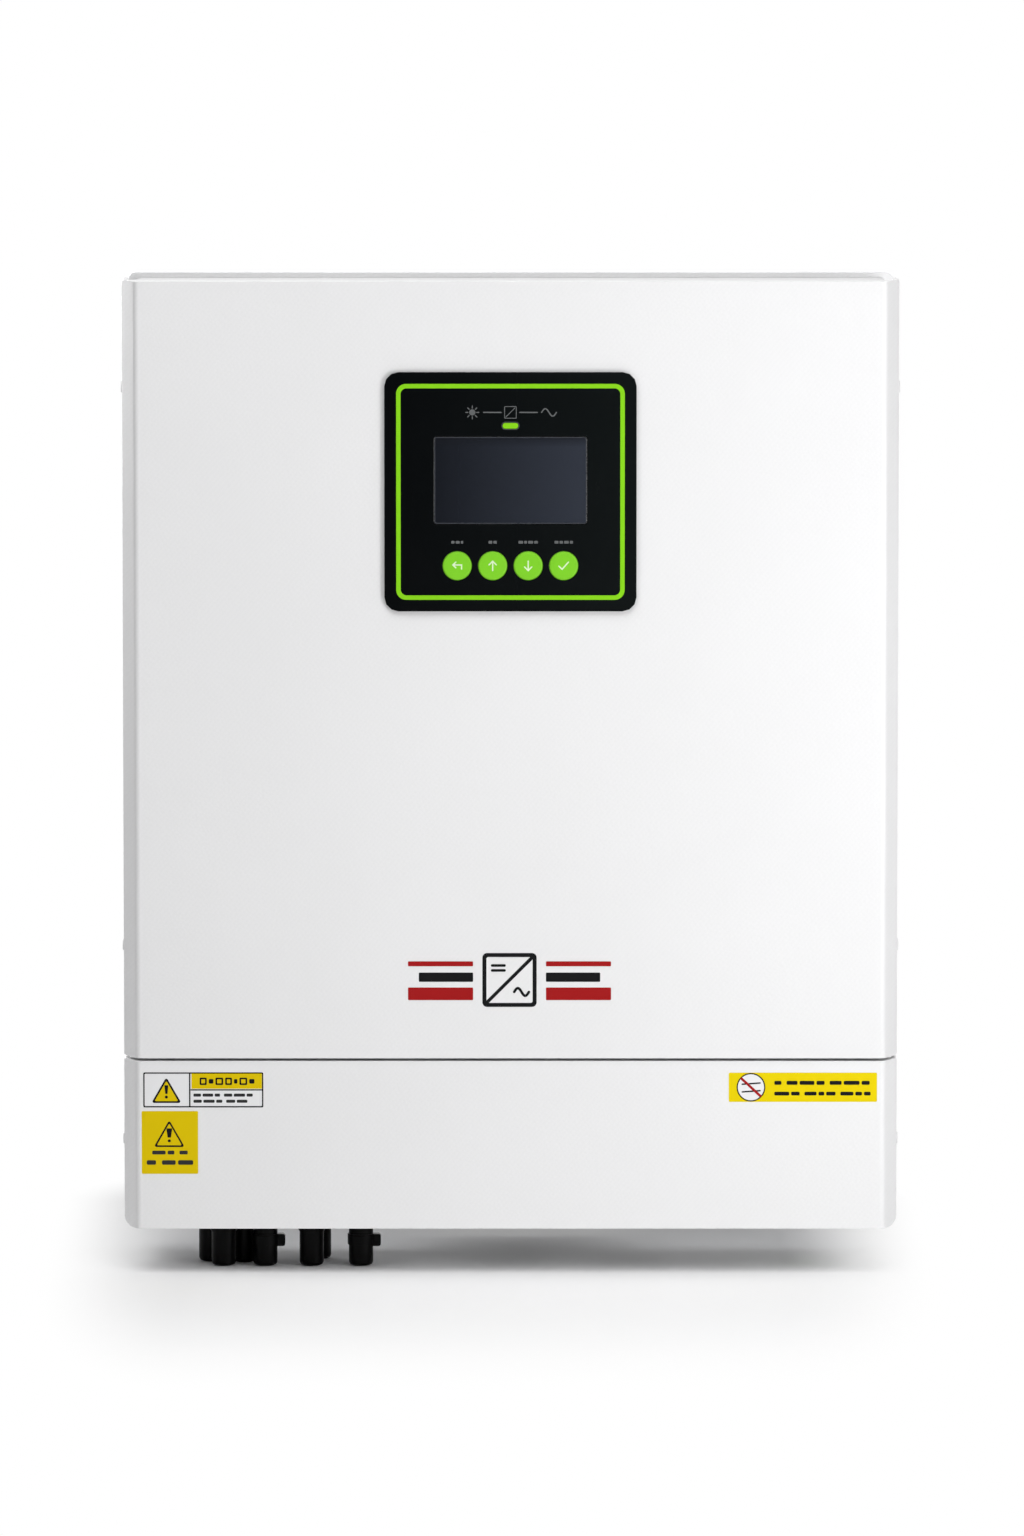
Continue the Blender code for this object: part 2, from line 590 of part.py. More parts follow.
def make_lens():
    inset = GAP
    return box("display_lens",
               (inset - WINDOW_WIDTH / 2, PANEL_FRONT + 0.0005, WINDOW_Z - WINDOW_HEIGHT / 2 + inset),
               (WINDOW_WIDTH / 2 - inset, FRONT - 2 * GAP, WINDOW_Z + WINDOW_HEIGHT / 2 - inset),
               LCD_GLASS, corner=0.0018)


def make_lcd_module():
    return box("lcd_module", (-0.0535, FRONT, WINDOW_Z - 0.0320), (0.0535, -0.1592, WINDOW_Z + 0.0320), STEEL)


def make_keypad_board():
    """Circuit board behind the bezel, with a tactile switch under each button."""
    front, rear = -0.1589, -0.1573
    board = box("keypad_board", (-0.0705, front, PANEL_CENTRE_Z - 0.0660),
                (0.0705, rear, PANEL_CENTRE_Z + 0.0660), BOARD_GREEN)
    for k in range(4):
        x = button_x(k)
        join(board, box(f"switch_{k}", (x - 0.003, front - 0.0018, BUTTON_Z - 0.003),
                        (x + 0.003, front + 0.0004, BUTTON_Z + 0.003), cutter=True))
    return board


def make_button(name, index):
    """Round key with a retaining flange behind the bezel and a stem that reaches its switch."""
    face = PANEL_FRONT - 0.0005
    flange = face - FRONT - 0.0001
    stem_end = -0.0082
    sketch = ((0.0, 0.0), (0.0082, 0.0), (BUTTON_RADIUS, -0.0007), (BUTTON_RADIUS, flange),
              (0.0104, flange), (0.0104, flange - 0.0011), (0.0030, flange - 0.0011),
              (0.0030, stem_end), (0.0, stem_end))
    button = turned(name, sketch, (button_x(index), face, BUTTON_Z), GREEN_PLASTIC, sides=28)
    button.rotation_euler = (math.pi / 2, 0.0, 0.0)
    return button


# ---- power electronics --------------------------------------------------------------------------------
def board_with_legs(name, low, high, rear, legs):
    """Circuit board with swaged standoffs that reach back to rear."""
    board = box(name, low, high, BOARD_GREEN)
    for k, (x, z) in enumerate(legs):
        start = high[1] - 0.0005
        join(board, cylinder(f"{name}_leg_{k}", (x, (start + rear) / 2, z), 0.003, rear - start,
                             along="Y", sides=10, cutter=True))
    return board


def make_power_board():
    back = -0.0894
    legs = [(x, z) for x in (-0.205, 0.205) for z in (-0.240, 0.070)]
    return board_with_legs("power_board", (-0.215, back - 0.0016, -0.250), (0.215, back, 0.080),
                           INNER_BACK - GAP, legs)


def make_control_board():
    back = -0.1300
    legs = [(x, z) for x in (-0.195, -0.045) for z in (-0.220, -0.130)]
    return board_with_legs("control_board", (-0.205, back - 0.0016, -0.230), (-0.035, back, -0.120),
                           -0.0910 - GAP, legs)


def make_power_module():
    """Transistor module that reaches through the chassis's back wall to the heat sink."""
    module = box("power_module", (-0.062, -0.0890, -0.0665), (0.062, SINK_FRONT - GAP, -0.0035),
                 WHITE_PLASTIC)
    for k, x in enumerate((-0.054, 0.054)):
        cut(module, cylinder(f"module_hole_{k}", (x, -0.080, -0.035), 0.0028, 0.040, along="Y",
                             sides=12, cutter=True))
    return module


def make_capacitor(name, x, z):
    """Snap-in electrolytic capacitor standing forward off the power board, with a rolled groove."""
    base, length, radius = -0.0913, 0.045, 0.0175
    sketch = ((0.0, length), (radius - 0.0025, length), (radius - 0.0020, length - 0.0008),
              (radius - 0.0008, length), (radius, length - 0.0012), (radius, 0.0050),
              (radius - 0.0010, 0.0040), (radius, 0.0030), (radius, 0.0), (0.0, 0.0))
    capacitor = turned(name, sketch, (x, base, z), CAPACITOR_SLEEVE, sides=24)
    capacitor.rotation_euler = (math.pi / 2, 0.0, 0.0)
    return capacitor


def make_inductor(name, x):
    """Boost inductor potted in an aluminium box on the chassis's back wall."""
    low_z, high_z, rear, front = -0.362, -0.272, INNER_BACK - GAP, -0.124
    case = box(name, (x - 0.055, front, low_z), (x + 0.055, rear, high_z), ALUMINIUM, corner=0.006)
    cut(case, box(name + "_well", (x - 0.051, front - CUT, low_z + 0.004),
                  (x + 0.051, front + 0.004, high_z - 0.004), corner=0.004, cutter=True))
    return case


# ---- wiring compartment ---------------------------------------------------------------------------------
def make_terminal_board():
    back = -0.0840
    legs = [(x, z) for x in (-0.045, 0.215) for z in (-0.455, -0.400)]
    return board_with_legs("terminal_board", (-0.060, back - 0.0016, -0.462), (0.230, back, -0.393),
                           INNER_BACK - GAP, legs)


def make_terminal_block(name, low_x, poles, pitch, height):
    """Screw terminal block: a stepped body with a wire entry below and a screw well in front of each pole."""
    rear, front, step, low_z = -0.0859, -0.1120, -0.1010, -0.448
    profile = ((rear, low_z), (rear, low_z + height), (step, low_z + height),
               (front, low_z + height * 0.72), (front, low_z))
    block = extrusion(name, profile, low_x, low_x + poles * pitch, TERMINAL_PLASTIC, along="X")
    for k in range(poles):
        x = low_x + (k + 0.5) * pitch
        entry = pitch * 0.33
        cut(block, box(f"{name}_entry_{k}", (x - entry, front + 0.006, low_z - CUT),
                       (x + entry, front + 0.006 + 2 * entry, low_z + height * 0.35), cutter=True))
        cut(block, cylinder(f"{name}_well_{k}", (x, front, low_z + height * 0.45), pitch * 0.27, 0.016,
                            along="Y", sides=12, cutter=True))
    return block


def make_port_block():
    """Signal sockets in one shielded block: three jack openings face down through the casing."""
    low_z = CHASSIS_BOTTOM - 0.0015 - GAP
    body = box("signal_ports", (PORTS_X - 0.028, PORTS_Y - 0.010, low_z + 0.0005),
               (PORTS_X + 0.028, PORTS_Y + 0.010, CHASSIS_BOTTOM + 0.022), STEEL)
    join(body, box("port_flange", (PORTS_X - 0.032, PORTS_Y - 0.014, low_z),
                   (PORTS_X + 0.032, PORTS_Y + 0.014, CHASSIS_BOTTOM - GAP), cutter=True))
    for k, offset in enumerate((-0.0185, 0.0, 0.0185)):
        x = PORTS_X + offset
        cut(body, box(f"jack_{k}", (x - 0.0060, PORTS_Y - 0.0045, low_z - CUT),
                      (x + 0.0060, PORTS_Y + 0.0045, low_z + 0.012), cutter=True))
    return body


def make_grommet(name, x):
    """Rubber ring snapped into a cable entry, grooved round its outside."""
    top = CHASSIS_BOTTOM + CHASSIS_SHEET + GAP
    under = CHASSIS_BOTTOM - GAP
    neck = GROMMET_RADIUS - 0.003
    sketch = ((GROMMET_BORE + 0.0008, top + 0.0020), (GROMMET_RADIUS - 0.0008, top + 0.0020),
              (GROMMET_RADIUS, top + 0.0012), (GROMMET_RADIUS, top), (neck, top), (neck, under),
              (GROMMET_RADIUS, under), (GROMMET_RADIUS, under - 0.0012),
              (GROMMET_RADIUS - 0.0012, under - 0.0024), (GROMMET_BORE + 0.0010, under - 0.0024),
              (GROMMET_BORE, under - 0.0012), (GROMMET_BORE, top + 0.0012))
    return turned(name, sketch, (x, GROMMET_Y, 0.0), RUBBER, sides=24)


def make_socket(name, x, y):
    """Photovoltaic panel socket: nut inside the casing, flange and plug body below it."""
    inside = CHASSIS_BOTTOM + CHASSIS_SHEET + GAP
    under = CHASSIS_BOTTOM - GAP
    tip = CAP_BOTTOM + 0.0075
    sketch = ((0.0, inside + 0.0150), (0.0032, inside + 0.0150), (0.0032, inside + 0.0060),
              (0.0086, inside + 0.0060), (0.0086, inside), (SOCKET_RADIUS, inside),
              (SOCKET_RADIUS, under), (0.0088, under), (0.0088, under - 0.0022),
              (SOCKET_RADIUS, under - 0.0030), (SOCKET_RADIUS, tip), (0.0, tip))
    return turned(name, sketch, (x, y, 0.0), BLACK_PLASTIC, sides=18)


def make_cap(name, x, y, kind):
    """Push-on sealing cap with a rounded end; the latched kind adds a grip band and a side latch."""
    mouth = CHASSIS_BOTTOM - GAP - 0.0034
    bore = SOCKET_RADIUS + 0.0002
    rim = 0.0091 if kind == "plain" else CAP_RADIUS
    sketch = ((bore, mouth), (rim, mouth), (rim, mouth - 0.0055), (CAP_RADIUS, mouth - 0.0075),
              (CAP_RADIUS, CAP_BOTTOM + 0.0022), (CAP_RADIUS - 0.0007, CAP_BOTTOM + 0.0007),
              (CAP_RADIUS - 0.0022, CAP_BOTTOM), (0.0, CAP_BOTTOM))
    seat = ((0.0, CAP_BOTTOM + 0.0070), (bore, CAP_BOTTOM + 0.0070))
    cap = turned(name, seat + sketch, (x, y, 0.0), BLACK_PLASTIC, sides=20)
    if kind == "latched":
        low_z, high_z = CAP_BOTTOM + 0.0135, CAP_BOTTOM + 0.0205
        band = turned(name + "_band", ((CAP_RADIUS - 0.0010, high_z), (CAP_RADIUS + 0.0008, high_z),
                                       (CAP_RADIUS + 0.0008, low_z), (CAP_RADIUS - 0.0010, low_z)),
                      (x, y, 0.0), sides=20, cutter=True)
        latch = box(name + "_latch", (x + CAP_RADIUS - 0.0012, y - 0.0032, low_z - 0.001),
                    (x + CAP_RADIUS + 0.0050, y + 0.0032, high_z), corner=0.0015, cutter=True)
        join(cap, band, latch)
    return cap


def make_rocker_housing():
    """Snap-in switch body, open below, with a flange under the casing and two pivot holes."""
    flange_low = CHASSIS_BOTTOM - GAP - 0.0016
    top = CHASSIS_BOTTOM + 0.0160
    housing = box("rocker_housing", (ROCKER_X - 0.0110, ROCKER_Y - 0.0065, flange_low + 0.0004),
                  (ROCKER_X + 0.0110, ROCKER_Y + 0.0065, top), BLACK_PLASTIC)
    join(housing, box("rocker_flange", (ROCKER_X - 0.0130, ROCKER_Y - 0.0085, flange_low),
                      (ROCKER_X + 0.0130, ROCKER_Y + 0.0085, CHASSIS_BOTTOM - GAP), cutter=True))
    cut(housing, box("rocker_well", (ROCKER_X - 0.0096, ROCKER_Y - 0.0050, flange_low - CUT),
                     (ROCKER_X + 0.0096, ROCKER_Y + 0.0050, top - 0.0040), cutter=True))
    cut(housing, cylinder("rocker_pivot_hole", (ROCKER_X, ROCKER_Y, CHASSIS_BOTTOM + 0.0020),
                          ROCKER_PIN + RUNNING, 0.0118, along="Y", sides=16, cutter=True))
    return housing


def make_rocker():
    """Power rocker in its off position: its right half is pressed in."""
    pivot = Vector((ROCKER_X, ROCKER_Y, CHASSIS_BOTTOM + 0.0020))
    throw = math.radians(10)
    reach, crest, notch = 0.0082, -0.0062, -0.0048
    inner = [Vector((0.0062 * math.cos(a), 0.0062 * math.sin(a)))
             for a in (math.pi * k / 8 for k in range(9))]
    profile = [Vector((-reach, crest)), Vector((0.0, notch)), Vector((reach, crest)), Vector((reach, 0.0))]
    rocker = extrusion("power_rocker", profile + inner + [Vector((-reach, 0.0))], -0.0047, 0.0047,
                       GREEN_PLASTIC, along="Y")
    rocker.matrix_world = (Matrix.Translation(pivot) @ Matrix.Rotation(-throw, 4, "Y")
                           @ rocker.matrix_world)
    join(rocker, cylinder("rocker_pin", pivot, ROCKER_PIN, 0.0110, along="Y", sides=16, cutter=True))
    return rocker


def build():
    make_chassis()
    make_heatsink()
    make_wall_bracket()
    make_hanger_rail()
    make_lower_bracket()
    make_fan_tray()
    for k, x in enumerate(FAN_X, start=1):
        make_fan_frame(f"fan_frame_{k}", x)
        make_fan_rotor(f"fan_rotor_{k}", x)
    make_front_cover()
    make_gasket("front_cover_gasket", UPPER_LIP_Z)
    make_wiring_cover()
    make_gasket("wiring_cover_gasket", LOWER_LIP_Z)
    for k, (side, height) in enumerate(SCREW_SPOTS, start=1):
        make_screw(f"cover_screw_{k}", side, height)
    make_bezel()
    make_lens()
    make_lcd_module()
    make_keypad_board()
    for k, name in enumerate(("button_back", "button_up", "button_down", "button_enter")):
        make_button(name, k)
    make_power_board()
    make_control_board()
    make_power_module()
    for k, x in enumerate((0.020, 0.062, 0.104, 0.146), start=1):
        make_capacitor(f"bus_capacitor_{k}", x, -0.190)
    make_inductor("boost_inductor_1", -0.150)
    make_inductor("boost_inductor_2", -0.020)
    make_terminal_board()
    make_terminal_block("grid_terminal", -0.050, 4, 0.012, 0.030)
    make_terminal_block("load_terminal", 0.015, 4, 0.012, 0.030)
    make_terminal_block("battery_terminal", 0.085, 2, 0.022, 0.034)
    make_port_block()
    for name, x in GROMMETS:
        make_grommet(name, x)
    for k, (x, y, kind) in enumerate(CONNECTORS, start=1):
        make_socket(f"pv_socket_{k}", x, y)
        make_cap(f"pv_cap_{k}", x, y, kind)
    make_rocker_housing()
    make_rocker()


build()
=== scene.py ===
"""Looks of the wall-mounted string inverter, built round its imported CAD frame."""

import json
import math

import bmesh
import bpy
from mathutils import Matrix, Vector


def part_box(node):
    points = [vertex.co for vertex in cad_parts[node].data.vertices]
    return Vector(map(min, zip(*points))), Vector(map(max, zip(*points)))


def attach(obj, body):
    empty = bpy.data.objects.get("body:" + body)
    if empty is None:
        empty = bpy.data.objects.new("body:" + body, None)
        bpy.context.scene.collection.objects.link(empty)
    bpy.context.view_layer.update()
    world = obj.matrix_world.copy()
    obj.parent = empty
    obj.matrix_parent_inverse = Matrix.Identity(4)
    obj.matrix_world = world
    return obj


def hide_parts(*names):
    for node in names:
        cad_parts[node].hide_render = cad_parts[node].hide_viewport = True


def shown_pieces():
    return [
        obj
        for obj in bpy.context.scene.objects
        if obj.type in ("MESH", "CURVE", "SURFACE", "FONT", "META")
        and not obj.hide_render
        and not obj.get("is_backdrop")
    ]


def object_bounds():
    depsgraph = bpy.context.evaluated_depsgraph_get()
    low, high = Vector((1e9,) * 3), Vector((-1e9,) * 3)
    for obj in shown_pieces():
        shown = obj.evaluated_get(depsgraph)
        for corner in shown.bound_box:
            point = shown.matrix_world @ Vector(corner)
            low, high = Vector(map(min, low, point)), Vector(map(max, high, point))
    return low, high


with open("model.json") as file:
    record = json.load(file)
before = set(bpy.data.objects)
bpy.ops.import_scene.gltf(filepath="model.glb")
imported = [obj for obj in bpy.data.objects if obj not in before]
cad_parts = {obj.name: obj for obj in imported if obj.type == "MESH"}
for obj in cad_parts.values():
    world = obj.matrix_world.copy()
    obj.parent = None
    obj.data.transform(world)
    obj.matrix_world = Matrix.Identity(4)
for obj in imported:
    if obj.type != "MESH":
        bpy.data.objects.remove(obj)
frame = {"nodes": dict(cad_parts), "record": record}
CAD_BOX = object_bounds()

# ---- places read from the frame -------------------------------------------------------------
COVER_LOW, COVER_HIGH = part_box("front_cover")
LOWER_LOW, LOWER_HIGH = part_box("wiring_cover")
PANEL_LOW, PANEL_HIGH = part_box("display_bezel")
PANEL = (PANEL_LOW + PANEL_HIGH) / 2
FACE_Y = COVER_LOW.y
PANEL_Y = PANEL_LOW.y
KEYS = ("back", "up", "down", "enter")
FLOOR_Z = CAD_BOX[0].z - 0.0004
KEY_POWER = 11.3
OVERHEAD_POWER = 56.0
REAR_POWER = 44.0
WORLD_SHEEN = 1.6
WORLD_LEVEL = 0.17
WORLD_AHEAD = 0.012
WORLD_REAR = 0.18


# ---- materials --------------------------------------------------------------------------------
def add(tree, kind, inputs=None, **settings):
    """A shader node; an input is a value or another node's output socket."""
    node = tree.nodes.new(kind)
    for key, value in settings.items():
        setattr(node, key, value)
    for key, value in (inputs or {}).items():
        if isinstance(value, bpy.types.NodeSocket):
            tree.links.new(value, node.inputs[key])
        else:
            node.inputs[key].default_value = value
    return node


def local(tree, scale=(1.0, 1.0, 1.0), turn=(0.0, 0.0, 0.0)):
    """Positions in metres round the piece's own origin."""
    where = add(tree, "ShaderNodeTexCoord").outputs["Object"]
    return add(tree, "ShaderNodeMapping", {"Vector": where, "Scale": scale, "Rotation": turn}).outputs[0]


def noise(tree, vector, scale, detail=3.0, roughness=0.55):
    return add(tree, "ShaderNodeTexNoise", {
        "Vector": vector, "Scale": scale, "Detail": detail, "Roughness": roughness}).outputs["Fac"]


def between(tree, fac, low, high, from_low=0.3, from_high=0.7):
    return add(tree, "ShaderNodeMapRange", {
        "Value": fac, "From Min": from_low, "From Max": from_high, "To Min": low, "To Max": high}).outputs[0]


def blend_colour(tree, fac, first, second):
    mix = add(tree, "ShaderNodeMix", {"Factor": fac}, data_type="RGBA")
    for index, colour in ((6, first), (7, second)):
        if isinstance(colour, bpy.types.NodeSocket):
            tree.links.new(colour, mix.inputs[index])
        else:
            mix.inputs[index].default_value = (*colour, 1.0)
    return mix.outputs[2]


def bump(tree, height, distance, strength=1.0, below=None):
    node = add(tree, "ShaderNodeBump", {"Height": height, "Distance": distance, "Strength": strength})
    if below:
        tree.links.new(below, node.inputs["Normal"])
    return node.outputs[0]


def new_material(name):
    material = bpy.data.materials.new(name)
    material.use_nodes = True
    return material, material.node_tree, material.node_tree.nodes["Principled BSDF"]


def scaled(colour, factor):
    return tuple(min(1.0, channel * factor) for channel in colour)


def grained(name, colour, roughness, metallic=0.0, grain=1500.0, depth=1.5e-5, mottle=0.10,
            uneven=0.08, stretch=(1.0, 1.0, 1.0), specular=0.5, coat=0.0, painted_glow=0.0):
    """Moulded, painted or rolled surface: mottled colour, uneven gloss and a fine grain."""
    material, tree, bsdf = new_material(name)
    where = local(tree, stretch)
    broad = noise(tree, where, 45.0, 4.0)
    patchy = noise(tree, where, 260.0, 5.0)
    fine = noise(tree, where, grain, 2.0)
    tint = blend_colour(tree, broad, scaled(colour, 1 - mottle), scaled(colour, 1 + mottle))
    tree.links.new(tint, bsdf.inputs["Base Color"])
    tree.links.new(between(tree, patchy, roughness - uneven, roughness + uneven), bsdf.inputs["Roughness"])
    tree.links.new(bump(tree, fine, depth), bsdf.inputs["Normal"])
    bsdf.inputs["Metallic"].default_value = metallic
    bsdf.inputs["Specular IOR Level"].default_value = specular
    bsdf.inputs["Coat Weight"].default_value = coat
    bsdf.inputs["Coat Roughness"].default_value = 0.12
    # painted glow: a faint emission of the surface's own tint, so that it shines though it is no lamp
    if painted_glow:
        tree.links.new(tint, bsdf.inputs["Emission Color"])
        bsdf.inputs["Emission Strength"].default_value = painted_glow
    return material


def powder_coat(name, colour):
    """White polyester powder: orange peel, a finer sparkle of grains and a faint diagonal lay."""
    material, tree, bsdf = new_material(name)
    where = local(tree)
    peel = add(tree, "ShaderNodeTexVoronoi", {"Vector": where, "Scale": 620.0, "Smoothness": 1.0},
               feature="SMOOTH_F1").outputs["Distance"]
    grains = noise(tree, where, 3200.0, 2.0)
    lay = add(tree, "ShaderNodeTexWave", {
        "Vector": local(tree, turn=(0.0, math.radians(-42), 0.0)), "Scale": 115.0, "Distortion": 0.6,
        "Detail": 1.0, "Detail Scale": 2.0}, bands_direction="X").outputs["Fac"]
    broad = noise(tree, where, 5.0, 2.0)
    tint = blend_colour(tree, between(tree, broad, 0.0, 1.0), scaled(colour, 0.985), scaled(colour, 1.01))
    tint = blend_colour(tree, between(tree, lay, 0.0, 0.035, 0.0, 1.0), tint, scaled(colour, 0.70))
    tint = blend_colour(tree, between(tree, grains, 0.0, 0.06, 0.45, 0.75), tint, scaled(colour, 0.80))
    tree.links.new(tint, bsdf.inputs["Base Color"])
    tree.links.new(between(tree, grains, 0.40, 0.52), bsdf.inputs["Roughness"])
    bsdf.inputs["Specular IOR Level"].default_value = 0.35
    ridges = bump(tree, grains, 1.6e-5)
    tree.links.new(bump(tree, peel, 5e-5, below=ridges), bsdf.inputs["Normal"])
    return material


def brushed(name, colour, roughness, axis, metallic=1.0, depth=1.2e-5):
    """Extruded or rolled metal, drawn along one axis, with faint oxide clouds."""
    material, tree, bsdf = new_material(name)
    stretch = [1.0, 1.0, 1.0]
    stretch["XYZ".index(axis)] = 0.02
    lines = noise(tree, local(tree, stretch), 1400.0, 4.0, 0.6)
    clouds = noise(tree, local(tree), 22.0, 5.0, 0.6)
    tint = blend_colour(tree, between(tree, clouds, 0.0, 1.0), scaled(colour, 0.86), scaled(colour, 1.08))
    tint = blend_colour(tree, between(tree, lines, 0.0, 0.22), tint, scaled(colour, 0.7))
    tree.links.new(tint, bsdf.inputs["Base Color"])
    tree.links.new(between(tree, lines, roughness - 0.08, roughness + 0.12), bsdf.inputs["Roughness"])
    tree.links.new(bump(tree, lines, depth), bsdf.inputs["Normal"])
    bsdf.inputs["Metallic"].default_value = metallic
    return material


def zinc(name, colour, roughness):
    """Zinc-plated steel: soft crystal patches, each with its own sheen."""
    material, tree, bsdf = new_material(name)
    where = local(tree)
    patches = add(tree, "ShaderNodeTexVoronoi", {"Vector": where, "Scale": 190.0}).outputs["Color"]
    shade = add(tree, "ShaderNodeSeparateColor", {"Color": patches}).outputs[0]
    clouds = noise(tree, where, 40.0, 4.0)
    tint = blend_colour(tree, shade, scaled(colour, 0.90), scaled(colour, 1.06))
    tint = blend_colour(tree, between(tree, clouds, 0.0, 0.25), tint, (0.62, 0.60, 0.48))
    tree.links.new(tint, bsdf.inputs["Base Color"])
    tree.links.new(between(tree, shade, roughness - 0.06, roughness + 0.08, 0.0, 1.0), bsdf.inputs["Roughness"])
    tree.links.new(bump(tree, noise(tree, where, 900.0), 1e-5), bsdf.inputs["Normal"])
    bsdf.inputs["Metallic"].default_value = 1.0
    return material


def circuit_board(name, colour):
    """Solder resist over copper: tracks in square runs, with small plated pads and vias."""
    material, tree, bsdf = new_material(name)
    where = local(tree)
    cells = add(tree, "ShaderNodeTexVoronoi", {"Vector": where, "Scale": 130.0, "Randomness": 0.85},
                distance="CHEBYCHEV", feature="F1")
    spread = add(tree, "ShaderNodeTexVoronoi", {"Vector": where, "Scale": 300.0, "Randomness": 0.6},
                 distance="MANHATTAN", feature="F1")
    edge = add(tree, "ShaderNodeMath", {0: cells.outputs["Distance"], 1: 26.0}, operation="MULTIPLY")
    rings = add(tree, "ShaderNodeMath", {0: edge.outputs[0]}, operation="SINE").outputs[0]
    tracks = between(tree, rings, 0.0, 1.0, 0.35, 0.5)
    vias = between(tree, spread.outputs["Distance"], 1.0, 0.0, 0.10, 0.13)
    tint = blend_colour(tree, tracks, colour, scaled(colour, 1.9))
    tint = blend_colour(tree, vias, tint, (0.72, 0.66, 0.50))
    tree.links.new(tint, bsdf.inputs["Base Color"])
    tree.links.new(between(tree, vias, 0.34, 0.25, 0.0, 1.0), bsdf.inputs["Roughness"])
    tree.links.new(vias, bsdf.inputs["Metallic"])
    tree.links.new(bump(tree, tracks, 3e-5), bsdf.inputs["Normal"])
    return material


def lcd_glass(name):
    """Unlit display: dark blue-grey, with a painted highlight that makes it paler to the right and painted shade under
    its upper edge.
    """
    material, tree, bsdf = new_material(name)
    axes = add(tree, "ShaderNodeSeparateXYZ", {"Vector": local(tree)}).outputs
    # painted highlight: the colour is mixed paler towards the right, as if lit from that side
    across = between(tree, axes[0], 0.0, 1.0, -0.046, 0.046)
    tint = blend_colour(tree, across, (0.0035, 0.0050, 0.0090), (0.0255, 0.0305, 0.0435))
    # painted shade: the colour is darkened under the upper edge, where the bezel shades the glass
    painted_shade_under_top = between(tree, axes[2], 0.0, 0.75, 0.0215, 0.0280)
    tint = blend_colour(tree, painted_shade_under_top, tint, (0.004, 0.005, 0.008))
    rows = add(tree, "ShaderNodeTexChecker", {"Vector": local(tree), "Scale": 2600.0}).outputs["Fac"]
    tint = blend_colour(tree, between(tree, rows, 0.0, 0.06, 0.0, 1.0), tint, (0.06, 0.07, 0.09))
    tree.links.new(tint, bsdf.inputs["Base Color"])
    dust = noise(tree, local(tree), 700.0, 4.0)
    tree.links.new(between(tree, dust, 0.05, 0.10), bsdf.inputs["Roughness"])
    bsdf.inputs["Specular IOR Level"].default_value = 0.35
    return material


def gloss_panel(name):
    """Black acrylic face, its colour painted lighter towards the right as a painted highlight; a trace of haze and fine
    wipe marks in the gloss.
    """
    material, tree, bsdf = new_material(name)
    where = local(tree)
    axes = add(tree, "ShaderNodeSeparateXYZ", {"Vector": where}).outputs
    # painted highlight: the base colour is mixed lighter towards the right, as if lit from that side
    across = between(tree, axes[0], 0.0, 1.0, -0.08, 0.08)
    tint = blend_colour(tree, across, (0.0006, 0.0011, 0.0016), (0.0040, 0.0056, 0.0058))
    tree.links.new(tint, bsdf.inputs["Base Color"])
    wipes = noise(tree, local(tree, (1.0, 1.0, 0.15), (0.0, 0.5, 0.0)), 420.0, 5.0)
    haze = noise(tree, where, 30.0, 3.0)
    rough = add(tree, "ShaderNodeMath", {
        0: between(tree, wipes, 0.0, 0.07), 1: between(tree, haze, 0.13, 0.22)}, operation="ADD")
    tree.links.new(rough.outputs[0], bsdf.inputs["Roughness"])
    tree.links.new(bump(tree, noise(tree, where, 240.0, 1.0), 4e-6), bsdf.inputs["Normal"])
    bsdf.inputs["Specular IOR Level"].default_value = 0.12
    return material


def can_sleeve(name):
    """Shrink sleeve of a capacitor: dark blue with one pale stripe down its side."""
    material, tree, bsdf = new_material(name)
    axes = add(tree, "ShaderNodeSeparateXYZ", {"Vector": local(tree)}).outputs
    stripe = between(tree, axes[0], 0.0, 1.0, 0.0112, 0.0118)
    top = between(tree, axes[1], 1.0, 0.0, -0.0220, -0.0216)
    tint = blend_colour(tree, stripe, (0.012, 0.022, 0.060), (0.55, 0.56, 0.58))
    tint = blend_colour(tree, top, tint, (0.60, 0.61, 0.63))
    tree.links.new(tint, bsdf.inputs["Base Color"])
    tree.links.new(top, bsdf.inputs["Metallic"])
    tree.links.new(between(tree, noise(tree, local(tree), 300.0), 0.22, 0.34), bsdf.inputs["Roughness"])
    tree.links.new(bump(tree, noise(tree, local(tree), 500.0), 1e-5), bsdf.inputs["Normal"])
    return material


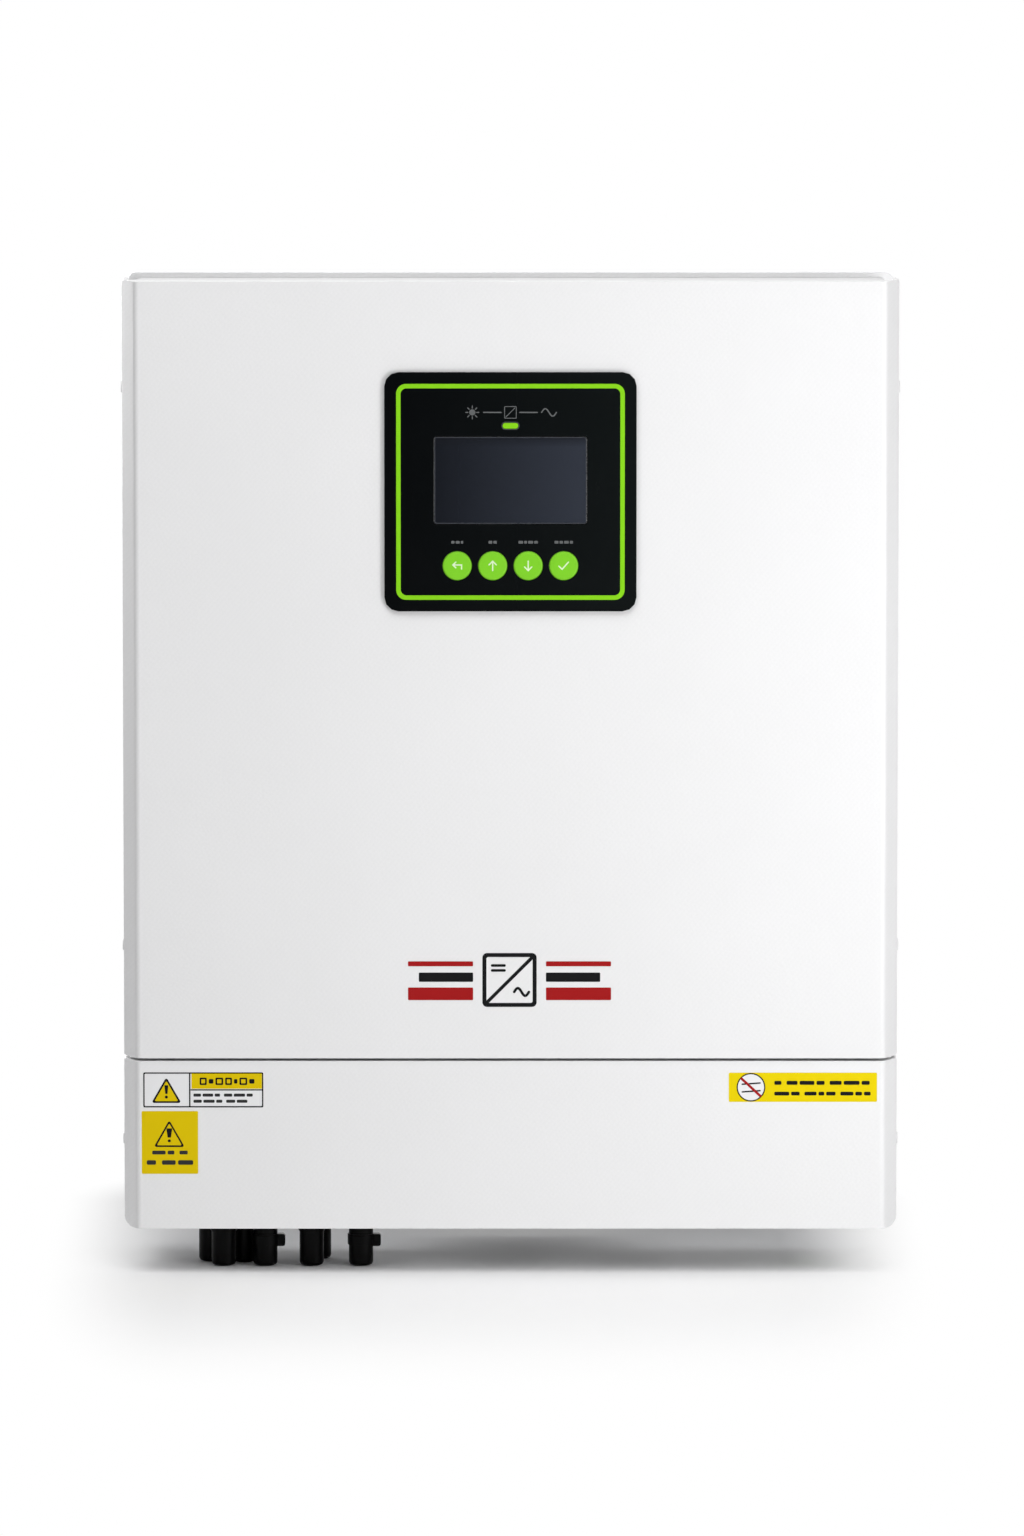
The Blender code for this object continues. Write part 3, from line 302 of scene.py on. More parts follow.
LOOKS = {
    "coat": powder_coat("white_powder_coat", (0.815, 0.815, 0.82)),
    "sink": brushed("extruded_aluminium", (0.78, 0.79, 0.81), 0.42, "Z", metallic=0.5),
    "cast": grained("cast_aluminium", (0.56, 0.57, 0.58), 0.45, 1.0, 700.0, 5e-5),
    "zinc": zinc("zinc_plate", (0.66, 0.66, 0.66), 0.34),
    "bright": brushed("bright_steel", (0.70, 0.70, 0.69), 0.22, "X"),
    "panel": gloss_panel("panel_gloss"),
    "lcd": lcd_glass("lcd_glass"),
    "rim": grained("lens_rim", (0.045, 0.050, 0.062), 0.30, specular=0.4),
    "black": grained("black_nylon", (0.0010, 0.0010, 0.0011), 0.36, grain=2200.0, depth=1.5e-5, mottle=0.3,
                     specular=0.08),
    "matt_black": grained("black_moulding", (0.012, 0.012, 0.013), 0.55, grain=1300.0, depth=3e-5, mottle=0.25),
    # painted glow: the green keys and rocker, and below them the green line ink, shine with a faint emission though
    # they are no lamps
    "green": grained("green_key_silicone", (0.190, 0.560, 0.022), 0.42, grain=1800.0, mottle=0.05, specular=0.15,
                     painted_glow=0.08),
    "green_ink": grained("green_line_ink", (0.225, 0.600, 0.010), 0.45, mottle=0.05, specular=0.12, painted_glow=0.05),
    "pale_ink": grained("pale_ink", (0.120, 0.126, 0.128), 0.5, mottle=0.15, specular=0.2),
    "grey_ink": grained("grey_ink", (0.060, 0.064, 0.066), 0.5, mottle=0.2, specular=0.2),
    "key_mark": grained("key_mark_ink", (0.72, 0.86, 0.58), 0.45, mottle=0.06),
    "board": circuit_board("solder_resist_green", (0.012, 0.090, 0.035)),
    "rubber": grained("epdm_rubber", (0.020, 0.020, 0.021), 0.72, grain=600.0, depth=6e-5, mottle=0.3),
    "sleeve": can_sleeve("capacitor_sleeve"),
    "terminal": grained("terminal_green", (0.030, 0.200, 0.070), 0.42, grain=1600.0, mottle=0.12),
    "module": grained("module_resin", (0.62, 0.60, 0.54), 0.48, mottle=0.06),
    "yellow": grained("yellow_vinyl", (0.720, 0.530, 0.001), 0.50, grain=2600.0, depth=6e-6, mottle=0.03,
                      uneven=0.05, specular=0.08),
    "yellow_2": grained("yellow_vinyl_light", (0.780, 0.610, 0.001), 0.50, grain=2600.0, depth=6e-6, mottle=0.03,
                        uneven=0.05, specular=0.08),
    "white_vinyl": grained("white_vinyl", (0.80, 0.80, 0.81), 0.45, grain=2600.0, depth=6e-6, mottle=0.02,
                           uneven=0.05, specular=0.2),
    "black_ink": grained("black_ink", (0.006, 0.006, 0.007), 0.50, mottle=0.15, specular=0.12),
    "text_ink": grained("text_ink", (0.030, 0.030, 0.030), 0.50, mottle=0.15, specular=0.12),
    "red_ink": grained("dark_red_ink", (0.350, 0.008, 0.009), 0.50, mottle=0.06, specular=0.12),
    "copper": brushed("enamelled_copper", (0.62, 0.26, 0.09), 0.25, "Z"),
    "brass": brushed("brass", (0.70, 0.52, 0.22), 0.28, "X"),
    "ferrite": grained("ferrite", (0.030, 0.030, 0.033), 0.62, grain=900.0, depth=4e-5, mottle=0.35),
    "tape": grained("polyester_tape", (0.66, 0.42, 0.05), 0.30, mottle=0.10, coat=0.4),
    "potting": grained("potting_resin", (0.022, 0.022, 0.024), 0.30, grain=140.0, depth=3e-4, mottle=0.3),
    "nylon": grained("natural_nylon", (0.70, 0.68, 0.60), 0.40, mottle=0.05),
    "film": grained("film_capacitor_case", (0.50, 0.22, 0.02), 0.38, mottle=0.08),
    "relay": grained("relay_case", (0.018, 0.045, 0.150), 0.35, mottle=0.10),
    "disc": grained("varistor_epoxy", (0.020, 0.100, 0.300), 0.30, grain=500.0, depth=5e-5, mottle=0.12),
    "red_wire": grained("red_insulation", (0.420, 0.018, 0.014), 0.40, mottle=0.08),
    "black_wire": grained("black_insulation", (0.014, 0.014, 0.015), 0.42, mottle=0.2),
    "blue_wire": grained("blue_insulation", (0.020, 0.075, 0.330), 0.40, mottle=0.08),
    "earth_wire": grained("earth_insulation", (0.180, 0.360, 0.020), 0.40, mottle=0.15),
    "ribbon": grained("grey_ribbon", (0.34, 0.34, 0.35), 0.45, grain=1600.0, depth=8e-5, stretch=(1, 0.1, 0.1)),
}


# ---- mesh helpers -------------------------------------------------------------------------------
def angle_smoothing():
    """Geometry nodes that keep only the edges sharper than 40 degrees hard."""
    group = bpy.data.node_groups.new("angle_smoothing", "GeometryNodeTree")
    group.interface.new_socket("Geometry", in_out="INPUT", socket_type="NodeSocketGeometry")
    group.interface.new_socket("Geometry", in_out="OUTPUT", socket_type="NodeSocketGeometry")
    start = group.nodes.new("NodeGroupInput")
    finish = group.nodes.new("NodeGroupOutput")
    faces = group.nodes.new("GeometryNodeSetShadeSmooth")
    edges = group.nodes.new("GeometryNodeSetShadeSmooth")
    edges.domain = "EDGE"
    angle = group.nodes.new("GeometryNodeInputMeshEdgeAngle")
    test = group.nodes.new("FunctionNodeCompare")
    test.operation = "LESS_THAN"
    test.inputs[1].default_value = math.radians(40)
    group.links.new(angle.outputs["Unsigned Angle"], test.inputs[0])
    group.links.new(test.outputs[0], edges.inputs["Shade Smooth"])
    group.links.new(start.outputs[0], faces.inputs[0])
    group.links.new(faces.outputs[0], edges.inputs[0])
    group.links.new(edges.outputs[0], finish.inputs[0])
    return group


SMOOTHING = angle_smoothing()


def soften(piece, edge, segments=2, limit=40):
    """Rounds the piece's hard edges and shades its flats flat and its rounds round."""
    if edge:
        rounding = piece.modifiers.new("edges", "BEVEL")
        rounding.limit_method = "ANGLE"
        rounding.angle_limit = math.radians(limit)
        rounding.width = edge
        rounding.segments = segments
        rounding.miter_outer = "MITER_ARC"
    smoothing = piece.modifiers.new("smoothing", "NODES")
    smoothing.node_group = SMOOTHING
    weighting = piece.modifiers.new("normals", "WEIGHTED_NORMAL")
    weighting.keep_sharp = True
    weighting.weight = 80


def refine(node, look, edge=0.0003, segments=2, limit=40):
    """A finer skin for a CAD node: welded, its flats merged and its hard edges rounded."""
    low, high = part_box(node)
    centre = (low + high) / 2
    edit = bmesh.new()
    edit.from_mesh(frame["nodes"][node].data)
    bmesh.ops.remove_doubles(edit, verts=edit.verts, dist=2e-6)
    bmesh.ops.dissolve_limit(edit, angle_limit=math.radians(0.6), verts=edit.verts, edges=edit.edges)
    bmesh.ops.translate(edit, verts=edit.verts, vec=-centre)
    mesh = bpy.data.meshes.new(node + "_skin")
    edit.to_mesh(mesh)
    edit.free()
    piece = bpy.data.objects.new(node + "_skin", mesh)
    bpy.context.scene.collection.objects.link(piece)
    piece.location = centre
    mesh.materials.append(LOOKS[look])
    for polygon in mesh.polygons:
        polygon.material_index = 0
    soften(piece, edge, segments, limit)
    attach(piece, BODY[node])
    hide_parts(node)
    return piece


BODY = {node: body for body, nodes in frame["record"]["behaviour"]["bodies"].items() for node in nodes}


def rounded_rectangle(u, v, width, height, radius, steps=6):
    points = []
    for k, (su, sv) in enumerate(((1, 1), (-1, 1), (-1, -1), (1, -1))):
        corner = Vector((u + su * (width / 2 - radius), v + sv * (height / 2 - radius)))
        for i in range(steps + 1):
            turn = math.pi / 2 * (k + i / steps)
            points.append(corner + radius * Vector((math.cos(turn), math.sin(turn))))
    return points


def circle(u, v, radius, count=32):
    return [Vector((u + radius * math.cos(2 * math.pi * k / count),
                    v + radius * math.sin(2 * math.pi * k / count))) for k in range(count)]


def rounded_polygon(corners, radius, steps=4):
    """A convex polygon with rounded corners."""
    points = []
    count = len(corners)
    for k in range(count):
        corner = Vector(corners[k])
        before = (Vector(corners[k - 1]) - corner).normalized()
        after = (Vector(corners[(k + 1) % count]) - corner).normalized()
        half = before.angle(after) / 2
        centre = corner + (before + after).normalized() * radius / math.sin(half)
        first = corner + before * radius / math.tan(half) - centre
        sweep = math.pi - 2 * half
        sign = 1 if before.cross(after) < 0 else -1
        for i in range(steps + 1):
            points.append(centre + Matrix.Rotation(sign * sweep * i / steps, 2) @ first)
    return points


def inset_polygon(corners, amount):
    """The same triangle or other regular outline, drawn in towards its middle."""
    middle = sum((Vector(corner) for corner in corners), Vector((0, 0))) / len(corners)
    return [Vector(corner) + (middle - Vector(corner)).normalized() * amount for corner in corners]


class Kit:
    """Small shapes gathered into one piece, each with its own look."""

    def __init__(self, name, body, looks, origin=(0.0, 0.0, 0.0)):
        self.name, self.body, self.looks = name, body, looks
        self.origin = Vector(origin)
        self.edit = bmesh.new()
        self.layer = 0

    def paint(self, before, look):
        index = self.looks.index(look)
        for face in self.edit.faces:
            if face not in before:
                face.material_index = index

    def faces_now(self):
        return set(self.edit.faces)

    def block(self, low, high, look, corner=0.0, axis="Y", steps=3):
        """A block; its four edges along axis can be rounded."""
        before = self.faces_now()
        low, high = Vector(low), Vector(high)
        size = high - low
        place = Matrix.Translation((low + high) / 2) @ Matrix.Diagonal((*size, 1.0))
        made = bmesh.ops.create_cube(self.edit, size=1.0, matrix=place)
        if corner:
            along = "XYZ".index(axis)
            edges = dict.fromkeys(e for v in made["verts"] for e in v.link_edges
                                  if abs((e.verts[0].co - e.verts[1].co)[along]) > 1e-7)
            bmesh.ops.bevel(self.edit, geom=list(edges), offset=corner, segments=steps, profile=0.5,
                            affect="EDGES")
        self.paint(before, look)
        return self

    def rod(self, start, end, radius, look, tip=None, sides=20):
        """A cylinder, or a cone to its tip radius, between two points."""
        before = self.faces_now()
        start, end = Vector(start), Vector(end)
        along = end - start
        place = Matrix.Translation((start + end) / 2) @ along.to_track_quat("Z", "Y").to_matrix().to_4x4()
        bmesh.ops.create_cone(self.edit, cap_ends=True, segments=sides, radius1=radius,
                              radius2=radius if tip is None else tip, depth=along.length, matrix=place)
        self.paint(before, look)
        return self

    def slab(self, outline, front, back, look, hole=None):
        """An outline in X and Z extruded from front to back, both Y; hole makes it a frame."""
        before = self.faces_now()
        edit = self.edit

        def loop(points, y):
            return [edit.verts.new((p[0], y, p[1])) for p in points]

        outer = (loop(outline, front), loop(outline, back))
        rings = [outer]
        if hole:
            inner = (loop(hole, front), loop(hole, back))
            rings.append((inner[1], inner[0]))
            count = len(outline)
            for k in range(count):
                n = (k + 1) % count
                edit.faces.new((outer[0][k], inner[0][k], inner[0][n], outer[0][n]))
                edit.faces.new((outer[1][k], outer[1][n], inner[1][n], inner[1][k]))
        else:
            edit.faces.new(outer[0])
            edit.faces.new(list(reversed(outer[1])))
        for near, far in rings:
            count = len(near)
            for k in range(count):
                n = (k + 1) % count
                edit.faces.new((near[k], near[n], far[n], far[k]))
        bmesh.ops.recalc_face_normals(edit, faces=[f for f in edit.faces if f not in before])
        self.paint(before, look)
        return self

    def ring(self, foot, top, outer, inner, look, outer_hex=False, inner_hex=False, sides=24):
        """A ring, or a nut or socket head when an outline is a hexagon, from foot to top."""
        before = self.faces_now()
        foot, top = Vector(foot), Vector(top)
        turn = (top - foot).to_track_quat("Z", "Y")

        def loop(end, radius, is_hex):
            made = []
            for k in range(sides):
                angle = 2 * math.pi * k / sides
                reach = radius
                if is_hex:
                    reach *= math.cos(math.pi / 6) / math.cos(angle % (math.pi / 3) - math.pi / 6)
                made.append(self.edit.verts.new(end + turn @ Vector((reach * math.cos(angle), reach * math.sin(angle), 0))))
            return made

        loops = (loop(foot, outer, outer_hex), loop(top, outer, outer_hex),
                 loop(top, inner, inner_hex), loop(foot, inner, inner_hex))
        for near, far in zip(loops, loops[1:] + loops[:1]):
            for k in range(sides):
                n = (k + 1) % sides
                self.edit.faces.new((near[k], near[n], far[n], far[k]))
        self.paint(before, look)
        return self

    def screw(self, seat, out, radius=0.0030, look="bright", washer=True):
        """Socket-head screw on its washer; out is the way its head faces."""
        seat, out = Vector(seat), Vector(out)
        rise = Vector((0, 0, 0))
        if washer:
            self.ring(seat, seat + out * 0.0007, radius * 1.45, radius * 0.5, look)
            rise = out * 0.0007
        tall = radius * 0.62
        self.ring(seat + rise, seat + rise + out * tall, radius, radius * 0.52, look, inner_hex=True)
        self.rod(seat + rise, seat + rise + out * tall * 0.3, radius * 0.6, look, sides=12)
        return self

    def bolt(self, seat, out, radius=0.0060, look="bright"):
        """Hexagon-head bolt on its washer."""
        seat, out = Vector(seat), Vector(out)
        self.ring(seat, seat + out * 0.0012, radius * 1.5, radius * 0.4, look)
        self.ring(seat + out * 0.0012, seat + out * (0.0012 + radius * 0.55), radius, 0.0004, look,
                  outer_hex=True)
        self.rod(seat + out * 0.0012, seat + out * (0.0014 + radius * 0.55), radius * 0.80, look, sides=24)
        return self

    def stroke(self, points, width, front, back, look):
        """A line of even width with round ends; each lies a hair over the one before."""
        self.layer = (self.layer + 1) % 5
        path = [Vector(p) for p in points]
        left, right = [], []
        for k in range(1, len(path) - 1):
            before = (path[k] - path[k - 1]).normalized()
            after = (path[k + 1] - path[k]).normalized()
            mitre = (before + after).normalized()
            reach = width / 2 / max(0.5, mitre.dot(before))
            across = Vector((-mitre.y, mitre.x)) * reach
            left.append(path[k] + across)
            right.append(path[k] - across)
        start = self.round_end(path[0], path[0] - path[1], width)
        finish = self.round_end(path[-1], path[-1] - path[-2], width)
        return self.slab(start + right + finish + left[::-1], front - self.layer * 0.000004, back, look)

    @staticmethod
    def round_end(centre, outward, width):
        """Half circle round the end of a line, anticlockwise."""
        ahead = math.atan2(outward.y, outward.x)
        return [centre + width / 2 * Vector((math.cos(ahead + math.pi * (i / 6 - 0.5)),
                                             math.sin(ahead + math.pi * (i / 6 - 0.5)))) for i in range(7)]

    def tube(self, points, radius, look, sides=10, steps=8):
        """A wire through the points, on a smooth curve."""
        before = self.faces_now()
        path = smooth_path([Vector(p) for p in points], steps)
        rings = []
        normal = None
        for k, point in enumerate(path):
            ahead = (path[min(k + 1, len(path) - 1)] - path[max(k - 1, 0)]).normalized()
            if normal is None:
                normal = ahead.orthogonal().normalized()
            normal = (normal - ahead * normal.dot(ahead)).normalized()
            other = ahead.cross(normal)
            rings.append([self.edit.verts.new(
                point + radius * (normal * math.cos(2 * math.pi * i / sides)
                                  + other * math.sin(2 * math.pi * i / sides))) for i in range(sides)])
        for near, far in zip(rings, rings[1:]):
            for i in range(sides):
                n = (i + 1) % sides
                self.edit.faces.new((near[i], near[n], far[n], far[i]))
        self.edit.faces.new(list(reversed(rings[0])))
        self.edit.faces.new(rings[-1])
        self.paint(before, look)
        return self

    def done(self, edge=0.0002, segments=2):
        mesh = bpy.data.meshes.new(self.name)
        bmesh.ops.translate(self.edit, verts=self.edit.verts, vec=-self.origin)
        self.edit.to_mesh(mesh)
        self.edit.free()
        for look in self.looks:
            mesh.materials.append(LOOKS[look])
        piece = bpy.data.objects.new(self.name, mesh)
        bpy.context.scene.collection.objects.link(piece)
        piece.location = self.origin
        soften(piece, edge, segments)
        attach(piece, self.body)
        return piece


def smooth_path(points, steps):
    """Catmull-Rom curve through the points."""
    if len(points) < 3:
        return points
    ends = [2 * points[0] - points[1], *points, 2 * points[-1] - points[-2]]
    path = []
    for p0, p1, p2, p3 in zip(ends, ends[1:], ends[2:], ends[3:]):
        for k in range(steps):
            t = k / steps
            path.append(0.5 * (2 * p1 + (p2 - p0) * t + (2 * p0 - 5 * p1 + 4 * p2 - p3) * t * t
                               + (3 * p1 - p0 - 3 * p2 + p3) * t ** 3))
    path.append(points[-1])
    return path


# ---- skins for the CAD nodes -----------------------------------------------------------------------
SKINS = {
    "chassis": ("coat", 0.0004), "front_cover": ("coat", 0.0003), "wiring_cover": ("coat", 0.0003),
    "heatsink": ("sink", 0.0003), "wall_bracket": ("zinc", 0.0004), "hanger_rail": ("zinc", 0.0004),
    "lower_bracket": ("zinc", 0.0004), "fan_tray": ("zinc", 0.0003), "display_bezel": ("panel", 0.0006),
    "display_lens": ("lcd", 0.0003), "lcd_module": ("bright", 0.0004), "keypad_board": ("board", 0.0002),
    "power_board": ("board", 0.0002), "control_board": ("board", 0.0002), "terminal_board": ("board", 0.0002),
    "power_module": ("module", 0.0008), "boost_inductor_1": ("cast", 0.0008),
    "boost_inductor_2": ("cast", 0.0008), "grid_terminal": ("terminal", 0.0003),
    "load_terminal": ("terminal", 0.0003), "battery_terminal": ("terminal", 0.0003),
    "signal_ports": ("bright", 0.0003), "battery_grommet": ("rubber", 0.0003), "ac_grommet": ("rubber", 0.0003),
    "rocker_housing": ("matt_black", 0.0003), "power_rocker": ("green", 0.0004),
    "front_cover_gasket": ("rubber", 0.0006), "wiring_cover_gasket": ("rubber", 0.0006),
    "fan_frame_1": ("matt_black", 0.0004), "fan_frame_2": ("matt_black", 0.0004),
    "fan_rotor_1": ("matt_black", 0.0003), "fan_rotor_2": ("matt_black", 0.0003),
}
for number in range(1, 8):
    SKINS[f"pv_socket_{number}"] = ("black", 0.0003)
    SKINS[f"pv_cap_{number}"] = ("black", 0.0003)
for number in range(1, 7):
    SKINS[f"cover_screw_{number}"] = ("coat", 0.00015)
for number in range(1, 5):
    SKINS[f"bus_capacitor_{number}"] = ("sleeve", 0.0004)
for key in KEYS:
    SKINS[f"button_{key}"] = ("green", 0.0003)


def make_skins():
    for node, (look, edge) in SKINS.items():
        refine(node, look, edge)
    # the keys' fronts lie a hair back, so that the print on them stays inside the CAD's box
    for key in KEYS:
        foremost = bpy.data.meshes[f"button_{key}_skin"].vertices
        front = min(v.co.y for v in foremost)
        for vertex in foremost:
            if vertex.co.y < front + 0.00001:
                vertex.co.y += 0.00005
    # the heat sink's front shows over the casing's top, coated like the casing
    sink = bpy.data.meshes["heatsink_skin"]
    sink.materials.append(LOOKS["coat"])
    for polygon in sink.polygons:
        if polygon.normal.y < -0.9 and polygon.center.y < min(v.co.y for v in sink.vertices) + 0.0005:
            polygon.material_index = 1


# ---- display panel -----------------------------------------------------------------------------------
def make_panel_line():
    """Green line printed round the panel."""
    kit = Kit("panel_line", "front_door", ["green_ink"], (PANEL.x, PANEL_Y, PANEL.z))
    width, height, line = 0.1468, 0.1391, 0.0029
    kit.slab(rounded_rectangle(PANEL.x, PANEL.z, width, height, 0.0064, 10), PANEL_Y - 0.00012, PANEL_Y + 0.0002,
             "green_ink", rounded_rectangle(PANEL.x, PANEL.z, width - 2 * line, height - 2 * line, 0.0038, 10))
    kit.done(0.00004)


def make_lens_rim():
    low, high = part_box("display_lens")
    middle = (low + high) / 2
    width, height = high.x - low.x, high.z - low.z
    kit = Kit("lens_rim", "front_door", ["rim"], middle)
    kit.slab(rounded_rectangle(middle.x, middle.z, width - 0.0003, height - 0.0003, 0.0016),
             low.y - 0.00025, low.y + 0.0002, "rim",
             rounded_rectangle(middle.x, middle.z, width - 0.0013, height - 0.0013, 0.0011))
    kit.done(0.0001)


def make_panel_marks():
    """Sun and wave marks over the display, and dashes over the keys in place of captions."""
    front, back = PANEL_Y - 0.00008, PANEL_Y + 0.0002
    kit = Kit("panel_marks", "front_door", ["grey_ink", "pale_ink", "green_ink"], (PANEL.x, PANEL_Y, PANEL.z))
    mark_z = PANEL.z + 0.0512
    sun = Vector((PANEL.x - 0.0245, mark_z))
    kit.slab(circle(*sun, 0.0020, 24), front, back, "pale_ink")
    for k in range(8):
        ray = Vector((math.cos(k * math.pi / 4), math.sin(k * math.pi / 4)))
        kit.stroke([sun + ray * 0.0028, sun + ray * 0.0041], 0.0007, front, back, "pale_ink")
    kit.stroke([(PANEL.x - 0.0172, mark_z), (PANEL.x - 0.0060, mark_z)], 0.0008, front, back, "pale_ink")
    box_w = 0.0040
    kit.slab(rounded_rectangle(PANEL.x, mark_z, 2 * box_w, 2 * box_w, 0.0006), front, back, "pale_ink",
             rounded_rectangle(PANEL.x, mark_z, 2 * box_w - 0.0010, 2 * box_w - 0.0010, 0.0004))
    kit.stroke([(PANEL.x - 0.0030, mark_z - 0.0030), (PANEL.x + 0.0030, mark_z + 0.0030)], 0.0005,
               front, back, "pale_ink")
    kit.stroke([(PANEL.x + 0.0060, mark_z), (PANEL.x + 0.0172, mark_z)], 0.0008, front, back, "pale_ink")
    wave = [(PANEL.x + 0.0200 + 0.0095 * t / 16, mark_z + 0.0024 * math.sin(2 * math.pi * t / 16))
            for t in range(17)]
    kit.stroke(wave, 0.0008, front, back, "pale_ink")
    lamp = (PANEL.x, PANEL.z + 0.0426)
    kit.slab(rounded_rectangle(*lamp, 0.0116, 0.0052, 0.0025), front - 0.0001, back, "grey_ink",
             rounded_rectangle(*lamp, 0.0106, 0.0042, 0.0020))
    kit.slab(rounded_rectangle(*lamp, 0.0100, 0.0036, 0.0017), front - 0.00015, back, "green_ink")
    for key, dashes in zip(KEYS, ((2.2, 2.6, 1.6), (2.4, 2.2), (3.0, 1.8, 3.2, 2.4), (2.6, 2.2, 3.0, 2.0))):
        low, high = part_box(f"button_{key}")
        start = (low.x + high.x) / 2 - (sum(dashes) + 0.7 * (len(dashes) - 1)) * 0.0005
        row = PANEL.z - 0.0324
        for dash in dashes:
            end = start + dash * 0.001
            kit.slab(rounded_rectangle((start + end) / 2, row, end - start, 0.0018, 0.0004, 2), front, back, "pale_ink")
            start = end + 0.0007
    kit.done(0.00003)


def make_key_mark(key):
    """Pictogram printed on one key: return, up, down or enter."""
    low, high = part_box(f"button_{key}")
    u, v = (low.x + high.x) / 2, (low.z + high.z) / 2
    kit = Kit(f"key_mark_{key}", f"key_{key}", ["key_mark"], (u, low.y, v))
    strokes = {
        "back": [[(2.8, -2.0), (2.8, 0.6), (-2.6, 0.6)], [(-0.9, 2.4), (-2.8, 0.6), (-0.9, -1.2)]],
        "up": [[(0.0, -3.0), (0.0, 2.8)], [(-2.3, 0.7), (0.0, 3.0), (2.3, 0.7)]],
        "down": [[(0.0, 3.0), (0.0, -2.8)], [(-2.3, -0.7), (0.0, -3.0), (2.3, -0.7)]],
        "enter": [[(-3.0, -0.2), (-1.0, -2.2), (3.0, 2.4)]],
    }[key]
    for points in strokes:
        kit.stroke([(u + a * 0.001, v + b * 0.001) for a, b in points], 0.00085, low.y + 0.000035,
                   low.y + 0.00015, "key_mark")
    kit.done(0)


def make_emblem():
    """Plain inverter symbol between pairs of dark red bars, low on the front cover."""
    u, v = -0.0006, place_z(316.0)
    front, back = FACE_Y - 0.00012, FACE_Y + 0.0002
    kit = Kit("front_emblem", "front_door", ["black_ink", "red_ink"], (u, FACE_Y, v))
    side = 0.0175
    kit.slab(rounded_rectangle(u, v, 2 * side, 2 * side, 0.0030), front, back, "black_ink",
             rounded_rectangle(u, v, 2 * side - 0.0052, 2 * side - 0.0052, 0.0012))
    kit.stroke([(u - side + 0.0026, v - side + 0.0026), (u + side - 0.0026, v + side - 0.0026)], 0.0022,
               front, back, "black_ink")
    for rise in (0.0062, 0.0094):
        kit.stroke([(u - 0.0112, v + rise), (u - 0.0032, v + rise)], 0.0017, front, back, "black_ink")
    wave = [(u + 0.0030 + 0.0095 * t / 18, v - 0.0078 + 0.0025 * math.sin(2 * math.pi * t / 18))
            for t in range(19)]
    kit.stroke(wave, 0.0017, front, back, "black_ink")
    for way in (-1, 1):
        for rise, length, thick in ((0.0105, 0.042, 0.0032), (0.0018, 0.035, 0.0060), (-0.0090, 0.042, 0.0082)):
            start, end = u + way * (side + 0.0060), u + way * (side + 0.0060 + length)
            kit.slab(rounded_rectangle((start + end) / 2, v + rise, length, thick, 0.0006, 3), front, back,
                     "black_ink" if rise == 0.0018 else "red_ink")
    kit.done(0.00004)


def dashes(kit, left, right, z, height, front, back, look, seed):
    """A line of short bars of uneven length, standing in for printed words."""
    at = left
    k = seed
    while at < right - height * 1.2:
        length = height * (1.2 + 1.9 * ((k * 37) % 11) / 10)
        end = min(at + length, right)
        kit.slab(rounded_rectangle((at + end) / 2, z, end - at, height * 0.78, height * 0.22, 2), front, back, look)
        at = end + height * (0.40 if k % 3 else 1.0)
        k += 1


def warning_triangle(kit, u, v, width, height, thick, front, back, fill, bar=1.0):
    """Black-edged triangle with a plain bar and dot; bar sets how broad the bar is."""
    corners = [(u - width / 2, v - height / 2), (u + width / 2, v - height / 2), (u, v + height / 2)]
    kit.slab(rounded_polygon(corners, 0.0010), front, back, "black_ink")
    inner = inset_polygon(corners, thick * 2)
    kit.slab(rounded_polygon(inner, 0.0005), front - 0.00004, back, fill)
    foot, head = 0.0007 * bar, 0.0013 * bar
    kit.slab(rounded_polygon([(u - foot, v - height * 0.15), (u + foot, v - height * 0.15),
                              (u + head, v + height * 0.19), (u - head, v + height * 0.19)], 0.0004),
             front - 0.00008, back, "black_ink")
    kit.slab(circle(u, v - height * 0.27, 0.0010, 16), front - 0.00008, back, "black_ink")


def place_z(row):
    """Height on the covers' front of a level given in millimetres below the panel's centre."""
    return PANEL.z - row * 0.001


